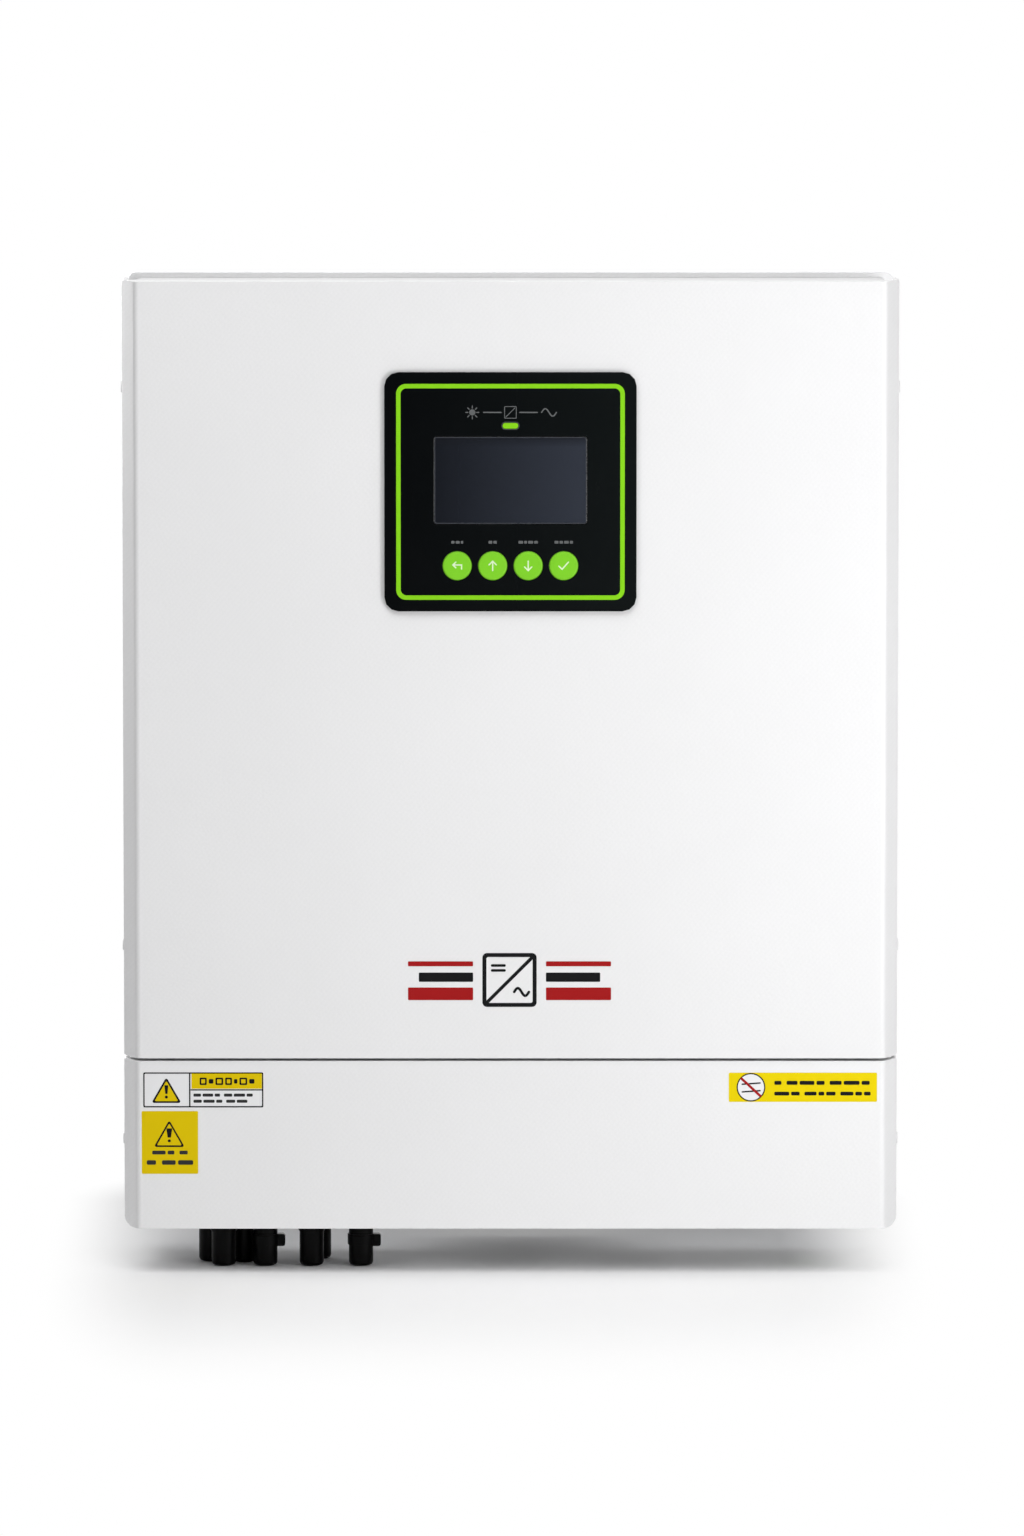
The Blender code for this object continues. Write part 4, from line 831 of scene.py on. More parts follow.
def make_stickers():
    """Three plain stickers on the wiring cover, with pictograms and dashes for words."""
    sticker = FACE_Y - 0.00012
    ink = FACE_Y - 0.00018
    back = FACE_Y + 0.0002
    # left: white with a black edge, a yellow head and a triangle
    u0, u1, v1, v0 = -0.2373, -0.1594, place_z(375.9), place_z(399.1)
    split = -0.2071
    middle = ((u0 + u1) / 2, (v0 + v1) / 2)
    kit = Kit("sticker_left", "wiring_door", ["white_vinyl", "black_ink", "text_ink", "yellow"], (middle[0], FACE_Y, middle[1]))
    kit.slab(rounded_rectangle(*middle, u1 - u0, v1 - v0, 0.0010, 3), sticker, back, "white_vinyl")
    kit.slab(rounded_rectangle(*middle, u1 - u0 - 0.0004, v1 - v0 - 0.0004, 0.0008, 3), ink, back, "black_ink",
             rounded_rectangle(*middle, u1 - u0 - 0.0021, v1 - v0 - 0.0021, 0.0005, 3))
    kit.slab(rounded_rectangle(split, middle[1], 0.0009, v1 - v0 - 0.0010, 0.0002, 2), ink, back, "black_ink")
    head_low = v1 - 0.0116
    kit.slab(rounded_rectangle((split + u1) / 2, (head_low + v1) / 2, u1 - split - 0.0022, v1 - head_low - 0.0014,
                               0.0003, 2), ink, back, "yellow")
    kit.slab(rounded_rectangle((split + u1) / 2, head_low, u1 - split - 0.0010, 0.0008, 0.0002, 2), ink, back,
             "black_ink")
    warning_triangle(kit, -0.2222, place_z(387.6), 0.0194, 0.0168, 0.0012, ink, back, "yellow")
    start = split + 0.0064
    for width, hollow in ((0.0046, 1), (0.0030, 0), (0.0050, 1), (0.0044, 1), (0.0022, 0), (0.0050, 1), (0.0034, 0)):
        middle_u, middle_v = start + width / 2, (head_low + v1) / 2 - 0.0002
        hole = rounded_rectangle(middle_u, middle_v, width - 0.0022, 0.0026, 0.0003, 3) if hollow else None
        kit.slab(rounded_rectangle(middle_u, middle_v, width, 0.0048 if hollow else 0.0030, 0.0007, 3),
                 ink - 0.00004, back, "black_ink", hole)
        start += width + 0.0013
    dashes(kit, split + 0.0024, u1 - 0.0050, v0 + 0.0082, 0.0025, ink, back, "text_ink", 1)
    dashes(kit, split + 0.0024, u1 - 0.0105, v0 + 0.0042, 0.0025, ink, back, "text_ink", 4)
    kit.done(0.00003)
    # left, below: yellow square
    u0, u1, v1, v0 = -0.2382, -0.2018, place_z(401.3), place_z(442.2)
    middle = ((u0 + u1) / 2, (v0 + v1) / 2)
    kit = Kit("sticker_square", "wiring_door", ["yellow", "black_ink", "text_ink"], (middle[0], FACE_Y, middle[1]))
    kit.slab(rounded_rectangle(*middle, u1 - u0, v1 - v0, 0.0008, 3), sticker, back, "yellow")
    warning_triangle(kit, middle[0] - 0.0004, place_z(415.9), 0.0200, 0.0176, 0.0011, ink, back, "yellow", 1.5)
    dashes(kit, middle[0] - 0.0115, middle[0] + 0.0115, place_z(428.3), 0.0032, ink, back, "text_ink", 2)
    dashes(kit, middle[0] - 0.0150, middle[0] + 0.0150, place_z(434.8), 0.0038, ink, back, "text_ink", 6)
    kit.done(0.00003)
    # right: yellow strip with a crossed-out circle
    u0, u1, v1, v0 = 0.1410, 0.2367, place_z(376.3), place_z(395.3)
    middle = ((u0 + u1) / 2, (v0 + v1) / 2)
    kit = Kit("sticker_right", "wiring_door", ["yellow_2", "white_vinyl", "black_ink", "red_ink"],
              (middle[0], FACE_Y, middle[1]))
    kit.slab(rounded_rectangle(*middle, u1 - u0, v1 - v0, 0.0008, 3), sticker, back, "yellow_2")
    sign = Vector((0.1553, middle[1]))
    kit.slab(circle(*sign, 0.0088), ink, back, "white_vinyl")
    kit.slab(circle(*sign, 0.0093), ink - 0.00002, back, "black_ink", circle(*sign, 0.0085))
    for rise in (0.0024, -0.0026):
        kit.stroke([(sign.x - 0.0056, sign.y + rise - 0.0004), (sign.x + 0.0058, sign.y + rise + 0.0004)], 0.0010,
                   ink - 0.00003, back, "black_ink")
    kit.stroke([(sign.x - 0.0060, sign.y + 0.0056), (sign.x + 0.0060, sign.y - 0.0056)], 0.0016, ink - 0.00006,
               back, "red_ink")
    dashes(kit, 0.1704, 0.2320, place_z(382.9), 0.0033, ink, back, "black_ink", 3)
    dashes(kit, 0.1704, 0.2326, place_z(389.9), 0.0031, ink, back, "black_ink", 8)
    kit.done(0.00003)


# ---- power board -----------------------------------------------------------------------------------------
POWER_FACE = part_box("bus_capacitor_1")[1].y + 0.0003  # the power board's front face
INNER_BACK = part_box("boost_inductor_1")[1].y + 0.0003  # front face of the casing's back wall
LUGS = (-0.212, -0.200, -0.188, -0.176, -0.100, -0.088, -0.076)


def part(kit, x, z, wide, tall, deep, base, look, corner=0.0006):
    """A block of a component that stands forward off a board's face at base."""
    kit.block((x - wide / 2, base - deep, z - tall / 2), (x + wide / 2, base, z + tall / 2), look, corner, "Y", 2)


def chip(kit, x, z, wide, tall, base, pins=8, deep=0.0018):
    """Integrated circuit with a row of legs down each side."""
    part(kit, x, z, wide, tall, deep, base - 0.0003, "matt_black", 0.0003)
    kit.rod((x - wide * 0.36, base - deep - 0.00035, z + tall * 0.36),
            (x - wide * 0.36, base - deep - 0.0002, z + tall * 0.36), 0.0005, "pale_ink", sides=10)
    for side in (-1, 1):
        for k in range(pins):
            leg = z - tall / 2 + tall * (k + 0.5) / pins
            part(kit, x + side * (wide / 2 + 0.0004), leg, 0.0012, tall / pins * 0.45, 0.0007, base, "bright", 0)


def can(kit, x, z, radius, tall, base, look="black_wire"):
    """Small electrolytic capacitor: sleeve, rolled shoulder and a bright scored top."""
    kit.rod((x, base, z), (x, base - tall, z), radius, look, sides=24)
    kit.ring((x, base - tall, z), (x, base - tall - 0.0003, z), radius * 0.97, radius * 0.86, look)
    kit.rod((x, base - tall, z), (x, base - tall - 0.00015, z), radius * 0.86, "bright", sides=24)
    for turn in (math.pi / 4, -math.pi / 4):
        reach = Vector((math.cos(turn), math.sin(turn))) * radius * 0.7
        kit.stroke([(x - reach.x, z - reach.y), (x + reach.x, z + reach.y)], 0.0004, base - tall - 0.0002,
                   base - tall, "grey_ink")
    kit.block((x + radius * 0.55, base - tall * 0.9, z + radius * 0.70), (x + radius * 0.70, base - tall * 0.1,
              z + radius * 0.78), "pale_ink")


def header(kit, x, z, wide, tall, base, pins, deep=0.006, look="nylon"):
    """Open plug housing with a row of pins in it."""
    u, v, wall = wide / 2, tall / 2, 0.0009
    kit.slab(rounded_rectangle(x, z, wide, tall, 0.0004, 2), base - deep, base, look,
             rounded_rectangle(x, z, wide - 2 * wall, tall - 2 * wall, 0.0002, 2))
    kit.block((x - u + wall, base - 0.0012, z - v + wall), (x + u - wall, base, z + v - wall), look)
    for k in range(pins):
        at = x - u + wide * (k + 0.5) / pins if wide > tall else x
        row = z if wide > tall else z - v + tall * (k + 0.5) / pins
        kit.rod((at, base, row), (at, base - deep * 0.75, row), 0.00035, "brass", sides=6)


def relay(kit, x, z, base):
    """Sealed mains relay with a pale mark carrying grey dashes."""
    part(kit, x, z, 0.029, 0.0125, 0.0155, base, "relay", 0.0012)
    kit.slab(rounded_rectangle(x, z, 0.020, 0.0070, 0.0004, 2), base - 0.01562, base - 0.0150, "pale_ink")
    dashes(kit, x - 0.0085, x + 0.0085, z + 0.0013, 0.0016, base - 0.01567, base - 0.015, "grey_ink", 2)
    dashes(kit, x - 0.0085, x + 0.0040, z - 0.0014, 0.0014, base - 0.01567, base - 0.015, "grey_ink", 5)


def film_capacitor(kit, x, z, wide, tall, deep, base):
    part(kit, x, z, wide, tall, deep, base, "film", 0.0010)
    dashes(kit, x - wide * 0.36, x + wide * 0.36, z, min(0.0024, tall * 0.2), base - deep - 0.00006,
           base - deep + 0.0004, "black_ink", 3)


def transistor(kit, x, z, base):
    """Power transistor lying on its tab, with three legs below."""
    part(kit, x, z, 0.0158, 0.0205, 0.0048, base, "matt_black", 0.0008)
    kit.ring((x, base - 0.0048, z + 0.0062), (x, base - 0.0052, z + 0.0062), 0.0036, 0.0018, "matt_black")
    kit.screw((x, base - 0.0048, z + 0.0062), (0, -1, 0), 0.0026, washer=False)
    for k in (-1, 0, 1):
        kit.block((x + k * 0.0054 - 0.0007, base - 0.0026, z - 0.0160), (x + k * 0.0054 + 0.0007, base - 0.0020,
                  z - 0.0100), "bright")


def toroid(kit, x, z, base, radius, core, width, look, turns):
    """Wound ring core standing on the board, its axis along Y."""
    middle = radius - core / 2
    kit.ring((x, base - 0.0015, z), (x, base - 0.0015 - width, z), radius, radius - core, "ferrite", sides=36)
    for k in range(turns):
        angle = math.pi * (0.10 + 0.80 * (k % (turns // 2)) / (turns // 2 - 1)) + (math.pi if k >= turns // 2 else 0)
        away = Vector((math.cos(angle), 0.0, math.sin(angle)))
        centre = Vector((x, base - 0.0015 - width / 2, z)) + away * middle
        half_r, half_w = core / 2 + 0.0007, width / 2 + 0.0006
        loop = [centre + away * half_r * a + Vector((0, half_w * b, 0))
                for a, b in ((1, 0), (1, -0.8), (0, -1), (-1, -0.8), (-1, 0.8), (0, 1), (1, 0.8), (1, -0.1))]
        kit.tube(loop, 0.0008, look, sides=6, steps=3)


def make_power_parts():
    face = POWER_FACE
    looks = ["relay", "pale_ink", "grey_ink", "film", "black_ink", "matt_black", "bright", "black_wire", "nylon",
             "brass", "white_vinyl", "yellow", "cast", "tape", "copper", "ferrite", "disc"]
    kit = Kit("power_board_parts", "casing", looks, (0.0, face, -0.09))
    for x in (0.034, 0.070, 0.106, 0.142, 0.178):
        relay(kit, x, -0.2330, face)
    for x in (-0.176, -0.132, -0.088):
        film_capacitor(kit, x, 0.058, 0.040, 0.026, 0.034, face)
    film_capacitor(kit, 0.190, -0.190, 0.018, 0.034, 0.030, face)
    film_capacitor(kit, -0.016, -0.178, 0.013, 0.032, 0.024, face)
    # transistors clamped in one row under an aluminium bar
    for x in (-0.190, -0.166, -0.142, -0.118, -0.094, -0.070, -0.046):
        transistor(kit, x, -0.020, face)
    kit.block((-0.203, face - 0.0090, -0.0115), (-0.033, face - 0.0052, -0.0055), "cast", 0.0008, "X", 2)
    for x in (-0.178, -0.118, -0.058):
        kit.screw((x, face - 0.0090, -0.0085), (0, -1, 0), 0.0028)
    # driver stage: small transformers, driver chips and their capacitors
    for k, x in enumerate((-0.186, -0.152, -0.118, -0.084, -0.050)):
        part(kit, x, -0.078, 0.016, 0.015, 0.012, face, "ferrite", 0.0010)
        part(kit, x, -0.078, 0.0175, 0.0085, 0.0128, face, "tape", 0.0008)
        chip(kit, x - 0.004, -0.0985, 0.0062, 0.0094, face, 4)
        can(kit, x + 0.008, -0.0985, 0.0036, 0.0110, face)
    # filter chokes and what stands round them
    toroid(kit, 0.172, -0.078, face, 0.0235, 0.0100, 0.0160, "copper", 32)
    toroid(kit, 0.172, -0.020, face, 0.0235, 0.0100, 0.0160, "copper", 32)
    film_capacitor(kit, 0.125, -0.110, 0.030, 0.018, 0.024, face)
    for x in (0.118, 0.134):
        part(kit, x, -0.0790, 0.0120, 0.0120, 0.0032, face, "disc", 0.0050)
    # current sensors with a bus bar through each
    for z in (-0.044, -0.012, 0.020):
        part(kit, 0.124, z, 0.022, 0.020, 0.018, face, "matt_black", 0.0010)
        kit.block((0.108, face - 0.0130, z - 0.0050), (0.140, face - 0.0110, z + 0.0050), "copper")
        kit.screw((0.1105, face - 0.0130, z), (0, -1, 0), 0.0022, washer=False)
        kit.screw((0.1375, face - 0.0130, z), (0, -1, 0), 0.0022, washer=False)
    # bus bars, fuses and auxiliary supply along the top
    kit.block((-0.060, face - 0.0060, 0.040), (0.100, face - 0.0045, 0.0470), "copper", 0.0008, "Y", 2)
    for x in (-0.050, -0.010, 0.030, 0.070, 0.092):
        kit.rod((x, face, 0.0435), (x, face - 0.0046, 0.0435), 0.0032, "brass", sides=12)
        kit.screw((x, face - 0.0060, 0.0435), (0, -1, 0), 0.0030)
    for x in (0.020, 0.060):
        kit.rod((x - 0.014, face - 0.0085, 0.0650), (x + 0.014, face - 0.0085, 0.0650), 0.0050, "white_vinyl")
        for side in (-1, 1):
            kit.rod((x + side * 0.0085, face - 0.0085, 0.0650), (x + side * 0.0152, face - 0.0085, 0.0650), 0.0053,
                    "bright")
            kit.block((x + side * 0.0118 - 0.003, face - 0.0050, 0.0590), (x + side * 0.0118 + 0.003, face, 0.0710),
                      "bright")
    part(kit, 0.150, 0.055, 0.030, 0.026, 0.022, face, "ferrite", 0.0012)
    part(kit, 0.150, 0.055, 0.033, 0.0150, 0.0235, face, "tape", 0.0012)
    for x, z, radius, tall in ((0.180, 0.062, 0.0065, 0.020), (0.196, 0.062, 0.0065, 0.020),
                               (0.184, 0.042, 0.0050, 0.015), (0.199, 0.044, 0.0050, 0.015),
                               (-0.028, 0.012, 0.0050, 0.014), (-0.014, 0.012, 0.0050, 0.014)):
        can(kit, x, z, radius, tall, face)
    for x, z, wide, tall, pins in ((0.006, 0.016, 0.0062, 0.0100, 6), (0.030, 0.018, 0.0075, 0.0075, 6),
                                   (0.054, 0.016, 0.0062, 0.0100, 6), (0.080, 0.018, 0.0062, 0.0100, 6),
                                   (0.006, -0.110, 0.0080, 0.0120, 8), (0.040, -0.110, 0.0080, 0.0120, 8),
                                   (0.074, -0.110, 0.0080, 0.0120, 8)):
        chip(kit, x, z, wide, tall, face, pins)
    # link capacitors, snubbers and shunts in the middle
    for x in (-0.020, 0.028, 0.076):
        film_capacitor(kit, x, -0.0620, 0.040, 0.022, 0.030, face)
    for k in range(5):
        part(kit, -0.020 + 0.024 * k, -0.0340, 0.0180, 0.0070, 0.0080, face, "film" if k % 2 else "tape", 0.0008)
        part(kit, -0.020 + 0.024 * k, -0.0195, 0.0150, 0.0080, 0.0030, face, "white_vinyl", 0.0010)
        for side in (-1, 1):
            part(kit, -0.020 + 0.024 * k + side * 0.0085, -0.0195, 0.0024, 0.0060, 0.0012, face, "bright", 0)
    for k in range(6):
        can(kit, -0.010 + 0.020 * k, -0.0045, 0.0050, 0.0160, face)
        part(kit, -0.010 + 0.020 * k, -0.0860, 0.0064, 0.0026, 0.0022, face, "black_ink", 0.0006)
        part(kit, -0.010 + 0.020 * k, -0.0915, 0.0064, 0.0026, 0.0022, face, "black_ink", 0.0006)
    header(kit, 0.020, -0.1360, 0.026, 0.0070, face, 10)
    header(kit, 0.070, -0.1360, 0.018, 0.0070, face, 6)
    header(kit, 0.130, -0.1420, 0.012, 0.0060, face, 4)
    header(kit, -0.2085, -0.040, 0.0060, 0.0200, face, 7)
    header(kit, 0.2085, -0.120, 0.0060, 0.0160, face, 5)
    for x in (-0.205, 0.205):
        for z in (-0.240, 0.070):
            kit.screw((x, face, z), (0, -1, 0), 0.0032)
    # cable lugs along the lower edge
    for x in LUGS:
        part(kit, x, -0.2375, 0.0080, 0.0095, 0.0040, face, "brass", 0.0005)
        kit.screw((x, face - 0.0040, -0.2385), (0, -1, 0), 0.0026, washer=False)
    kit.slab(rounded_rectangle(-0.200, 0.014, 0.018, 0.026, 0.0010, 2), face - 0.0003, face, "white_vinyl")
    for row in range(4):
        dashes(kit, -0.2075, -0.1925, 0.022 - 0.0052 * row, 0.0020, face - 0.00034, face, "black_ink", row + 1)
    kit.done(0.0002)


def make_control_parts():
    face = -0.1316
    looks = ["pale_ink", "grey_ink", "black_ink", "matt_black", "bright", "black_wire", "nylon", "brass",
             "white_vinyl", "green_ink", "ferrite", "red_ink"]
    kit = Kit("control_board_parts", "casing", looks, (-0.120, face, -0.175))
    # processor with legs on all four sides
    x, z = -0.118, -0.172
    part(kit, x, z, 0.0200, 0.0200, 0.0016, face - 0.0003, "matt_black", 0.0008)
    kit.rod((x - 0.0075, face - 0.0021, z + 0.0075), (x - 0.0075, face - 0.0018, z + 0.0075), 0.0008, "pale_ink", sides=12)
    for k in range(20):
        at = -0.0095 + 0.0010 * k
        for side in (-1, 1):
            part(kit, x + side * 0.0107, z + at, 0.0014, 0.00045, 0.0006, face, "bright", 0)
            part(kit, x + at, z + side * 0.0107, 0.00045, 0.0014, 0.0006, face, "bright", 0)
    dashes(kit, x - 0.0065, x + 0.0065, z + 0.0010, 0.0016, face - 0.00195, face, "pale_ink", 2)
    dashes(kit, x - 0.0065, x + 0.0030, z - 0.0022, 0.0014, face - 0.00195, face, "pale_ink", 6)
    for px, pz, wide, tall, pins in ((-0.150, -0.160, 0.0070, 0.0130, 10), (-0.150, -0.186, 0.0070, 0.0130, 10),
                                     (-0.170, -0.150, 0.0050, 0.0060, 4), (-0.170, -0.164, 0.0050, 0.0060, 4),
                                     (-0.170, -0.178, 0.0050, 0.0060, 4), (-0.085, -0.158, 0.0050, 0.0060, 4),
                                     (-0.085, -0.172, 0.0050, 0.0060, 4), (-0.085, -0.186, 0.0050, 0.0060, 4),
                                     (-0.064, -0.170, 0.0090, 0.0120, 8)):
        chip(kit, px, pz, wide, tall, face, pins)
    for px in (-0.186, -0.160, -0.134, -0.108):
        header(kit, px, -0.2155, 0.0180, 0.0068, face, 7)
    header(kit, -0.080, -0.2155, 0.0260, 0.0085, face, 10, look="black_wire")
    header(kit, -0.066, -0.1310, 0.0270, 0.0085, face, 10, look="black_wire")
    header(kit, -0.1985, -0.175, 0.0068, 0.0280, face, 10)
    # clock cell in its holder, crystal, lamps and small capacitors
    kit.ring((-0.180, face, -0.140), (-0.180, face - 0.0040, -0.140), 0.0088, 0.0078, "black_wire", sides=32)
    kit.rod((-0.180, face, -0.140), (-0.180, face - 0.0036, -0.140), 0.0077, "bright", sides=32)
    part(kit, -0.118, -0.150, 0.0100, 0.0040, 0.0032, face, "bright", 0.0018)
    for k in range(4):
        part(kit, -0.158 + k * 0.005, -0.1270, 0.0024, 0.0016, 0.0010, face, "green_ink" if k % 2 else "red_ink", 0.0002)
    for px, pz in ((-0.132, -0.136), (-0.120, -0.136), (-0.108, -0.136), (-0.096, -0.140), (-0.048, -0.150),
                   (-0.048, -0.195)):
        can(kit, px, pz, 0.0032, 0.0068, face)
    for k in range(14):
        part(kit, -0.190 + 0.0105 * k, -0.2025 + 0.0010 * (k % 2), 0.0022, 0.0014, 0.0007, face,
             "black_ink" if k % 3 else "pale_ink", 0.0002)
    kit.slab(rounded_rectangle(-0.095, -0.202, 0.0180, 0.0080, 0.0006, 2), face - 0.00025, face, "white_vinyl")
    dashes(kit, -0.1030, -0.0870, -0.2005, 0.0017, face - 0.0003, face, "black_ink", 3)
    dashes(kit, -0.1030, -0.0910, -0.2036, 0.0015, face - 0.0003, face, "black_ink", 5)
    for px in (-0.195, -0.045):
        for pz in (-0.220, -0.130):
            kit.screw((px, face, pz), (0, -1, 0), 0.0028)
    kit.done(0.00015)


def make_terminal_parts():
    face = -0.0856
    looks = ["brass", "bright", "film", "black_ink", "disc", "white_vinyl", "matt_black", "grey_ink", "nylon",
             "pale_ink", "black_wire"]
    kit = Kit("terminal_board_parts", "casing", looks, (0.085, face, -0.43))
    blocks = (("grid_terminal", 4, 0.012, 0.030), ("load_terminal", 4, 0.012, 0.030),
              ("battery_terminal", 2, 0.022, 0.034))
    for node, poles, pitch, height in blocks:
        low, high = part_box(node)
        for k in range(poles):
            x, z = low.x + (k + 0.5) * pitch, low.z + height * 0.45
            floor = low.y + 0.0078
            kit.ring((x, floor, z), (x, floor - 0.0028, z), pitch * 0.245, pitch * 0.10, "bright", inner_hex=True)
            kit.rod((x, floor, z), (x, floor - 0.0010, z), pitch * 0.13, "bright", sides=12)
            entry = pitch * 0.33
            kit.block((x - entry * 0.85, low.y + 0.0066, low.z + 0.0030), (x + entry * 0.85, low.y + 0.0055 + 2 * entry,
                      low.z + 0.0042), "brass")
        kit.slab(rounded_rectangle((low.x + high.x) / 2, high.z + 0.0045, high.x - low.x, 0.0052, 0.0006, 2),
                 face - 0.0002, face, "white_vinyl")
        dashes(kit, low.x + 0.003, high.x - 0.003, high.z + 0.0045, 0.0022, face - 0.00026, face, "black_ink", poles)
    for x in (0.148, 0.166, 0.184):
        part(kit, x, -0.4300, 0.0140, 0.0140, 0.0042, face, "disc", 0.0060)
        for side in (-1, 1):
            kit.rod((x + side * 0.0037, face, -0.4385), (x + side * 0.0037, face - 0.0020, -0.4360), 0.0004, "bright", sides=8)
    film_capacitor(kit, 0.206, -0.4280, 0.0180, 0.0300, 0.0200, face)
    for x in (0.150, 0.178):
        kit.rod((x - 0.010, face - 0.0055, -0.4080), (x + 0.010, face - 0.0055, -0.4080), 0.0030, "white_vinyl")
        for side in (-1, 1):
            kit.rod((x + side * 0.0065, face - 0.0055, -0.4080), (x + side * 0.0105, face - 0.0055, -0.4080), 0.0033, "bright")
            kit.block((x + side * 0.0085 - 0.0018, face - 0.0040, -0.4118), (x + side * 0.0085 + 0.0018, face, -0.4042), "bright")
    for x in (-0.045, 0.215):
        for z in (-0.455, -0.400):
            kit.screw((x, face, z), (0, -1, 0), 0.0030)
    kit.done(0.0002)


def make_potting():
    """Resin in each inductor's box, with its leads coming out and a plain mark."""
    for number, x in ((1, -0.150), (2, -0.020)):
        kit = Kit(f"inductor_potting_{number}", "casing", ["potting", "copper", "yellow", "black_ink", "bright"],
                  (x, -0.122, -0.317))
        kit.block((x - 0.0508, -0.1226, -0.3578), (x + 0.0508, -0.1202, -0.2762), "potting", 0.0038, "Y", 3)
        for u, v in ((-0.026, 0.0), (0.026, 0.0)):
            kit.rod((x + u, -0.1215, -0.317 + v), (x + u, -0.1232, -0.317 + v), 0.0185, "potting", 0.0170, 32)
        middle = (x, -0.317)
        for k in (-1, 1):
            kit.tube([(x + k * 0.014, -0.1215, -0.282), (x + k * 0.014, -0.1262, -0.279), (x + k * 0.015, -0.1265, -0.266),
                      (x + k * 0.016, -0.1120, -0.252), (x + k * 0.018, -0.0965, -0.2465), (x + k * 0.018, -0.0915, -0.2420)],
                     0.0018, "copper", sides=10, steps=6)
        corners = [(middle[0] - 0.0090, middle[1] - 0.0270), (middle[0] + 0.0090, middle[1] - 0.0270),
                   (middle[0], middle[1] - 0.0120)]
        kit.slab(rounded_polygon(corners, 0.0012), -0.1229, -0.1220, "yellow")
        kit.slab(rounded_polygon(inset_polygon(corners, 0.0028), 0.0006), -0.12295, -0.1220, "black_ink")
        kit.done(0.0003)


def make_transformer():
    """Laminated core on a bright clamp, its coil wrapped in tape."""
    x, z, front, rear = 0.165, -0.3175, -0.1130, -0.0800
    kit = Kit("transformer", "casing", ["ferrite", "tape", "bright", "copper", "white_vinyl", "black_ink"], (x, -0.097, z))
    for k in range(11):
        near = front + (rear - front) * k / 11
        size = 0.0001 if k % 2 else 0.0
        kit.slab(rounded_rectangle(x, z, 0.084 - size, 0.068 - size, 0.0006, 2), near, near + 0.0028, "ferrite",
                 rounded_rectangle(x, z, 0.044, 0.040, 0.0004, 2))
    kit.block((x - 0.0095, front + 0.0005, z - 0.0205), (x + 0.0095, rear, z + 0.0205), "ferrite")
    kit.block((x - 0.0215, front - 0.0075, z - 0.0190), (x + 0.0215, rear + 0.0035, z + 0.0190), "tape", 0.0050, "Z", 4)
    kit.block((x - 0.0222, front - 0.0082, z - 0.0196), (x + 0.0222, rear + 0.0038, z - 0.0175), "copper", 0.0050, "Z", 4)
    kit.block((x - 0.0222, front - 0.0082, z + 0.0175), (x + 0.0222, rear + 0.0038, z + 0.0196), "copper", 0.0050, "Z", 4)
    kit.slab(rounded_rectangle(x, z, 0.024, 0.018, 0.0008, 2), front - 0.0078, front - 0.0070, "white_vinyl")
    for row in range(3):
        dashes(kit, x - 0.0095, x + 0.0095, z + 0.0050 - 0.0050 * row, 0.0022, front - 0.00785, front - 0.007, "black_ink", row + 2)
    for side in (-1, 1):
        kit.block((x + side * 0.0455 - 0.0035, rear - 0.0010, z - 0.0340), (x + side * 0.0455 + 0.0035, rear + 0.0008, z + 0.0340), "bright", 0.0010, "Y", 2)
        for v in (-0.0270, 0.0270):
            kit.bolt((x + side * 0.0370, front, z + v), (0, -1, 0), 0.0030)
            kit.ring((x + side * 0.0455, INNER_BACK, z + v), (x + side * 0.0455, rear, z + v), 0.0030, 0.0012, "bright")
    kit.done(0.0003)


def make_earth_bar():
    kit = Kit("earth_bar", "casing", ["brass", "bright", "white_vinyl", "black_ink"], (-0.150, -0.080, -0.406))
    kit.block((-0.215, -0.0850, -0.4120), (-0.085, -0.0810, -0.4000), "brass", 0.0010, "Y", 2)
    for x in (-0.208, -0.092):
        kit.rod((x, INNER_BACK, -0.406), (x, -0.0810, -0.406), 0.0036, "bright", sides=20)
    for k in range(9):
        kit.screw((-0.208 + 0.0145 * k, -0.0850, -0.406), (0, -1, 0), 0.0036)
    kit.done(0.0003)


# ---- wires -----------------------------------------------------------------------------------------------
DIVIDER_Z = -0.3829
PASSES = {"left": (-0.2245, -0.1000), "middle": (-0.0850, -0.0960), "ac": (0.0560, -0.0960),
          "battery": (0.0960, -0.0960)}


def make_bushings():
    """Edge bushings where the wires pass the wall between the two compartments."""
    kit = Kit("divider_bushings", "casing", ["matt_black"], (0.0, -0.098, DIVIDER_Z))
    for (x, y), wide in zip(PASSES.values(), (0.0300, 0.0150, 0.0240, 0.0180)):
        outline = rounded_rectangle(0.0, 0.0, wide, 0.0115, 0.0050, 4)
        before = kit.faces_now()
        low, high = DIVIDER_Z - 0.0028, DIVIDER_Z + 0.0028
        rings = [[kit.edit.verts.new((x + p.x, y + p.y, z)) for p in outline] for z in (low, high)]
        kit.edit.faces.new(rings[0])
        kit.edit.faces.new(list(reversed(rings[1])))
        for k in range(len(outline)):
            n = (k + 1) % len(outline)
            kit.edit.faces.new((rings[0][k], rings[0][n], rings[1][n], rings[1][k]))
        bmesh.ops.recalc_face_normals(kit.edit, faces=[f for f in kit.edit.faces if f not in before])
        kit.paint(before, "matt_black")
    kit.done(0.0008, 3)


